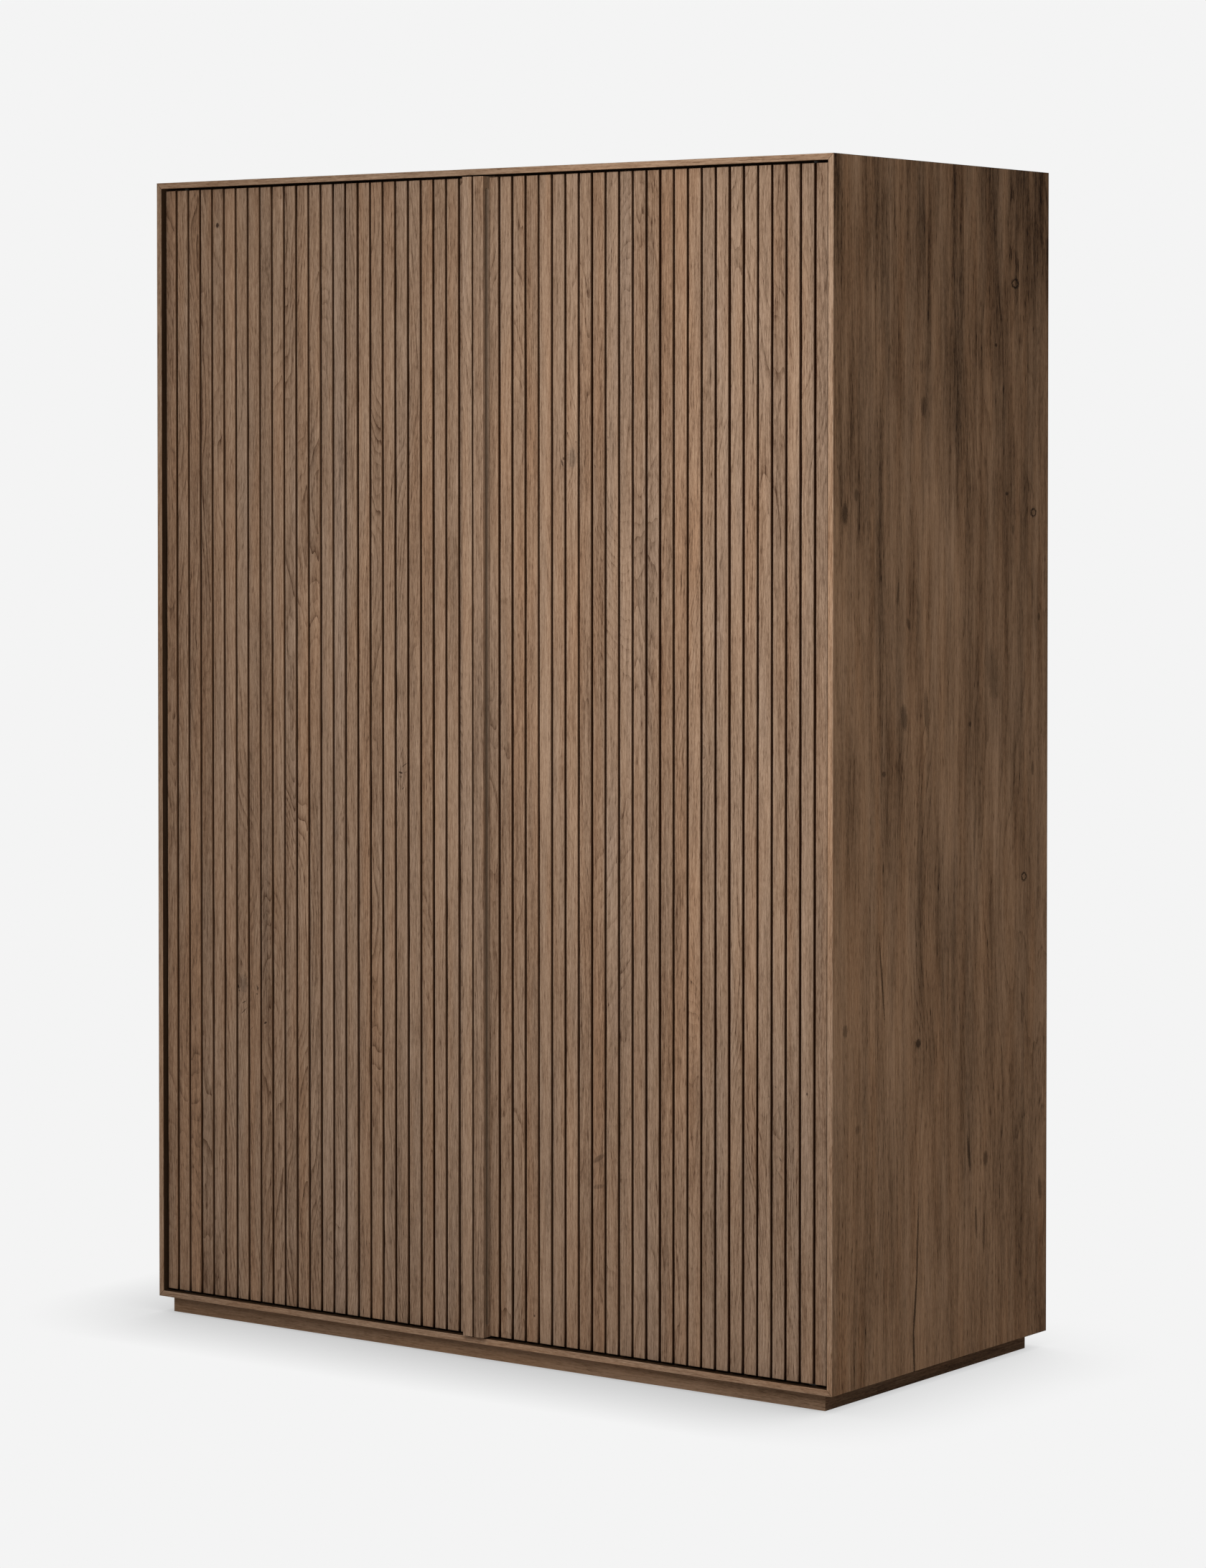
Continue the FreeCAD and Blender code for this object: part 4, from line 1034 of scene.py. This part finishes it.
def dress_doors():
    slats = slat_oak()
    bronze = metal("bush_bronze", srgb(176, 138, 82), roughness=0.35, scale=1500.0)
    for side in SIDES:
        door = f"{side}_door"
        low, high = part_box(f"{side}_pivot_bushes")
        pivot = (low + high) / 2
        zinc = metal(f"{side}_plate_zinc", srgb(160, 162, 162), roughness=0.55, scale=700.0, grease_and_shade_axis=pivot)
        make_slats(side, slats)
        two_tone_board(side)
        smooth_copy(f"{door}_grip", f"{side}_grip", door, grip_oak(side))
        smooth_copy(f"{side}_pivot_plates", f"{side}_plates", door, zinc)
        smooth_copy(f"{side}_pivot_screws", f"{side}_plate_screws", door, zinc)
        smooth_copy(f"{side}_pivot_bushes", f"{side}_bushes", "case", bronze)
        dress(f"{side}_strike_plates", zinc)
    smooth_copy("thrust_washers", "washers", "case", washer_nylon())


BACKDROP = srgb(244, 244, 244)
SHADOW = srgb(176, 176, 176)
SHADOW_REACH = 0.26
SHADOW_SAMPLES = 24
# The sky that the floor sees leans back and to the right,
# so the shadow reaches further in front and on the left.
SHADOW_LEAN = (0.2, 0.4, 0.9)
FLOOR_PAINT = srgb(225, 225, 225)
FLOOR_REACH = 40.0


def make_floor():
    """A pale floor that shows as the backdrop's own colour, darkened only by the object's shadow."""
    bm = bmesh.new()
    bmesh.ops.create_grid(bm, x_segments=1, y_segments=1, size=FLOOR_REACH)
    mesh = bpy.data.meshes.new("floor")
    bm.to_mesh(mesh)
    bm.free()
    floor = bpy.data.objects.new("floor", mesh)
    bpy.context.scene.collection.objects.link(floor)
    material, graph = new_material("floor_paint")
    sky = {"Distance": SHADOW_REACH, "Normal": graph.combine(*SHADOW_LEAN)}
    open_sky = graph.add("ShaderNodeAmbientOcclusion", sky, "AO", samples=SHADOW_SAMPLES)
    shown = graph.add("ShaderNodeEmission", {"Color": graph.mix(open_sky, SHADOW, BACKDROP)})
    lit = graph.add("ShaderNodeBsdfDiffuse", {"Color": FLOOR_PAINT})
    surface = graph.add("ShaderNodeMixShader", {0: graph.seen_directly(), 1: lit, 2: shown})
    from_below = graph.add("ShaderNodeNewGeometry", output="Backfacing")
    clear = graph.add("ShaderNodeBsdfTransparent")
    output = graph.tree.nodes.new("ShaderNodeOutputMaterial")
    one_sided = graph.add("ShaderNodeMixShader", {0: from_below, 1: surface, 2: clear})
    graph.feed(output.inputs["Surface"], one_sided)
    mesh.materials.append(material)


ROOM_LIGHT = 0.32
# Each softbox: its place, what it faces, the length of its side and its power.
SOFTBOXES = {
    "front_softbox": ((0.75, -1.85, 1.6), (0.4, -0.3, 1.2), 1.2, 24.5),
    "back_softbox": ((-1.5, 2.6, 1.7), (-0.2, 0.3, 1.0), 1.6, 36.0),
}


def make_world():
    """Even light from all round, in front of a backdrop as pale as the photograph's."""
    world = bpy.data.worlds.new("studio")
    bpy.context.scene.world = world
    world.use_nodes = True
    world.node_tree.nodes.clear()
    graph = Graph(world.node_tree)
    light = graph.add("ShaderNodeBackground", {"Color": WHITE, "Strength": ROOM_LIGHT})
    backdrop = graph.add("ShaderNodeBackground", {"Color": BACKDROP, "Strength": 1.0})
    output = world.node_tree.nodes.new("ShaderNodeOutputWorld")
    mixed = graph.add("ShaderNodeMixShader", {0: graph.seen_directly(), 1: light, 2: backdrop})
    graph.feed(output.inputs["Surface"], mixed)


def add_softbox(name, place, target, side, power):
    lamp = bpy.data.lights.new(name, "AREA")
    lamp.shape = "SQUARE"
    lamp.size = side
    lamp.energy = power
    softbox = bpy.data.objects.new(name, lamp)
    softbox.location = place
    softbox.rotation_euler = (Vector(target) - Vector(place)).to_track_quat("-Z", "Y").to_euler()
    softbox.visible_camera = False
    bpy.context.scene.collection.objects.link(softbox)


def make_camera():
    level = math.cos(VIEW_DROP)
    back = Vector((math.sin(VIEW_TURN) * level, -math.cos(VIEW_TURN) * level, math.sin(VIEW_DROP)))
    lens = bpy.data.cameras.new("camera")
    lens.lens = VIEW_LENS
    lens.sensor_width = SENSOR_WIDTH
    lens.shift_y = VIEW_SHIFT_UP
    camera = bpy.data.objects.new("camera", lens)
    camera.location = VIEW_TARGET + back * VIEW_DISTANCE
    camera.rotation_euler = (-back).to_track_quat("-Z", "Y").to_euler()
    bpy.context.scene.collection.objects.link(camera)
    bpy.context.scene.camera = camera


dress_case()
dress_doors()
make_floor()
make_world()
for name, values in SOFTBOXES.items():
    add_softbox(name, *values)
make_camera()
bpy.context.scene.view_settings.view_transform = "Standard"
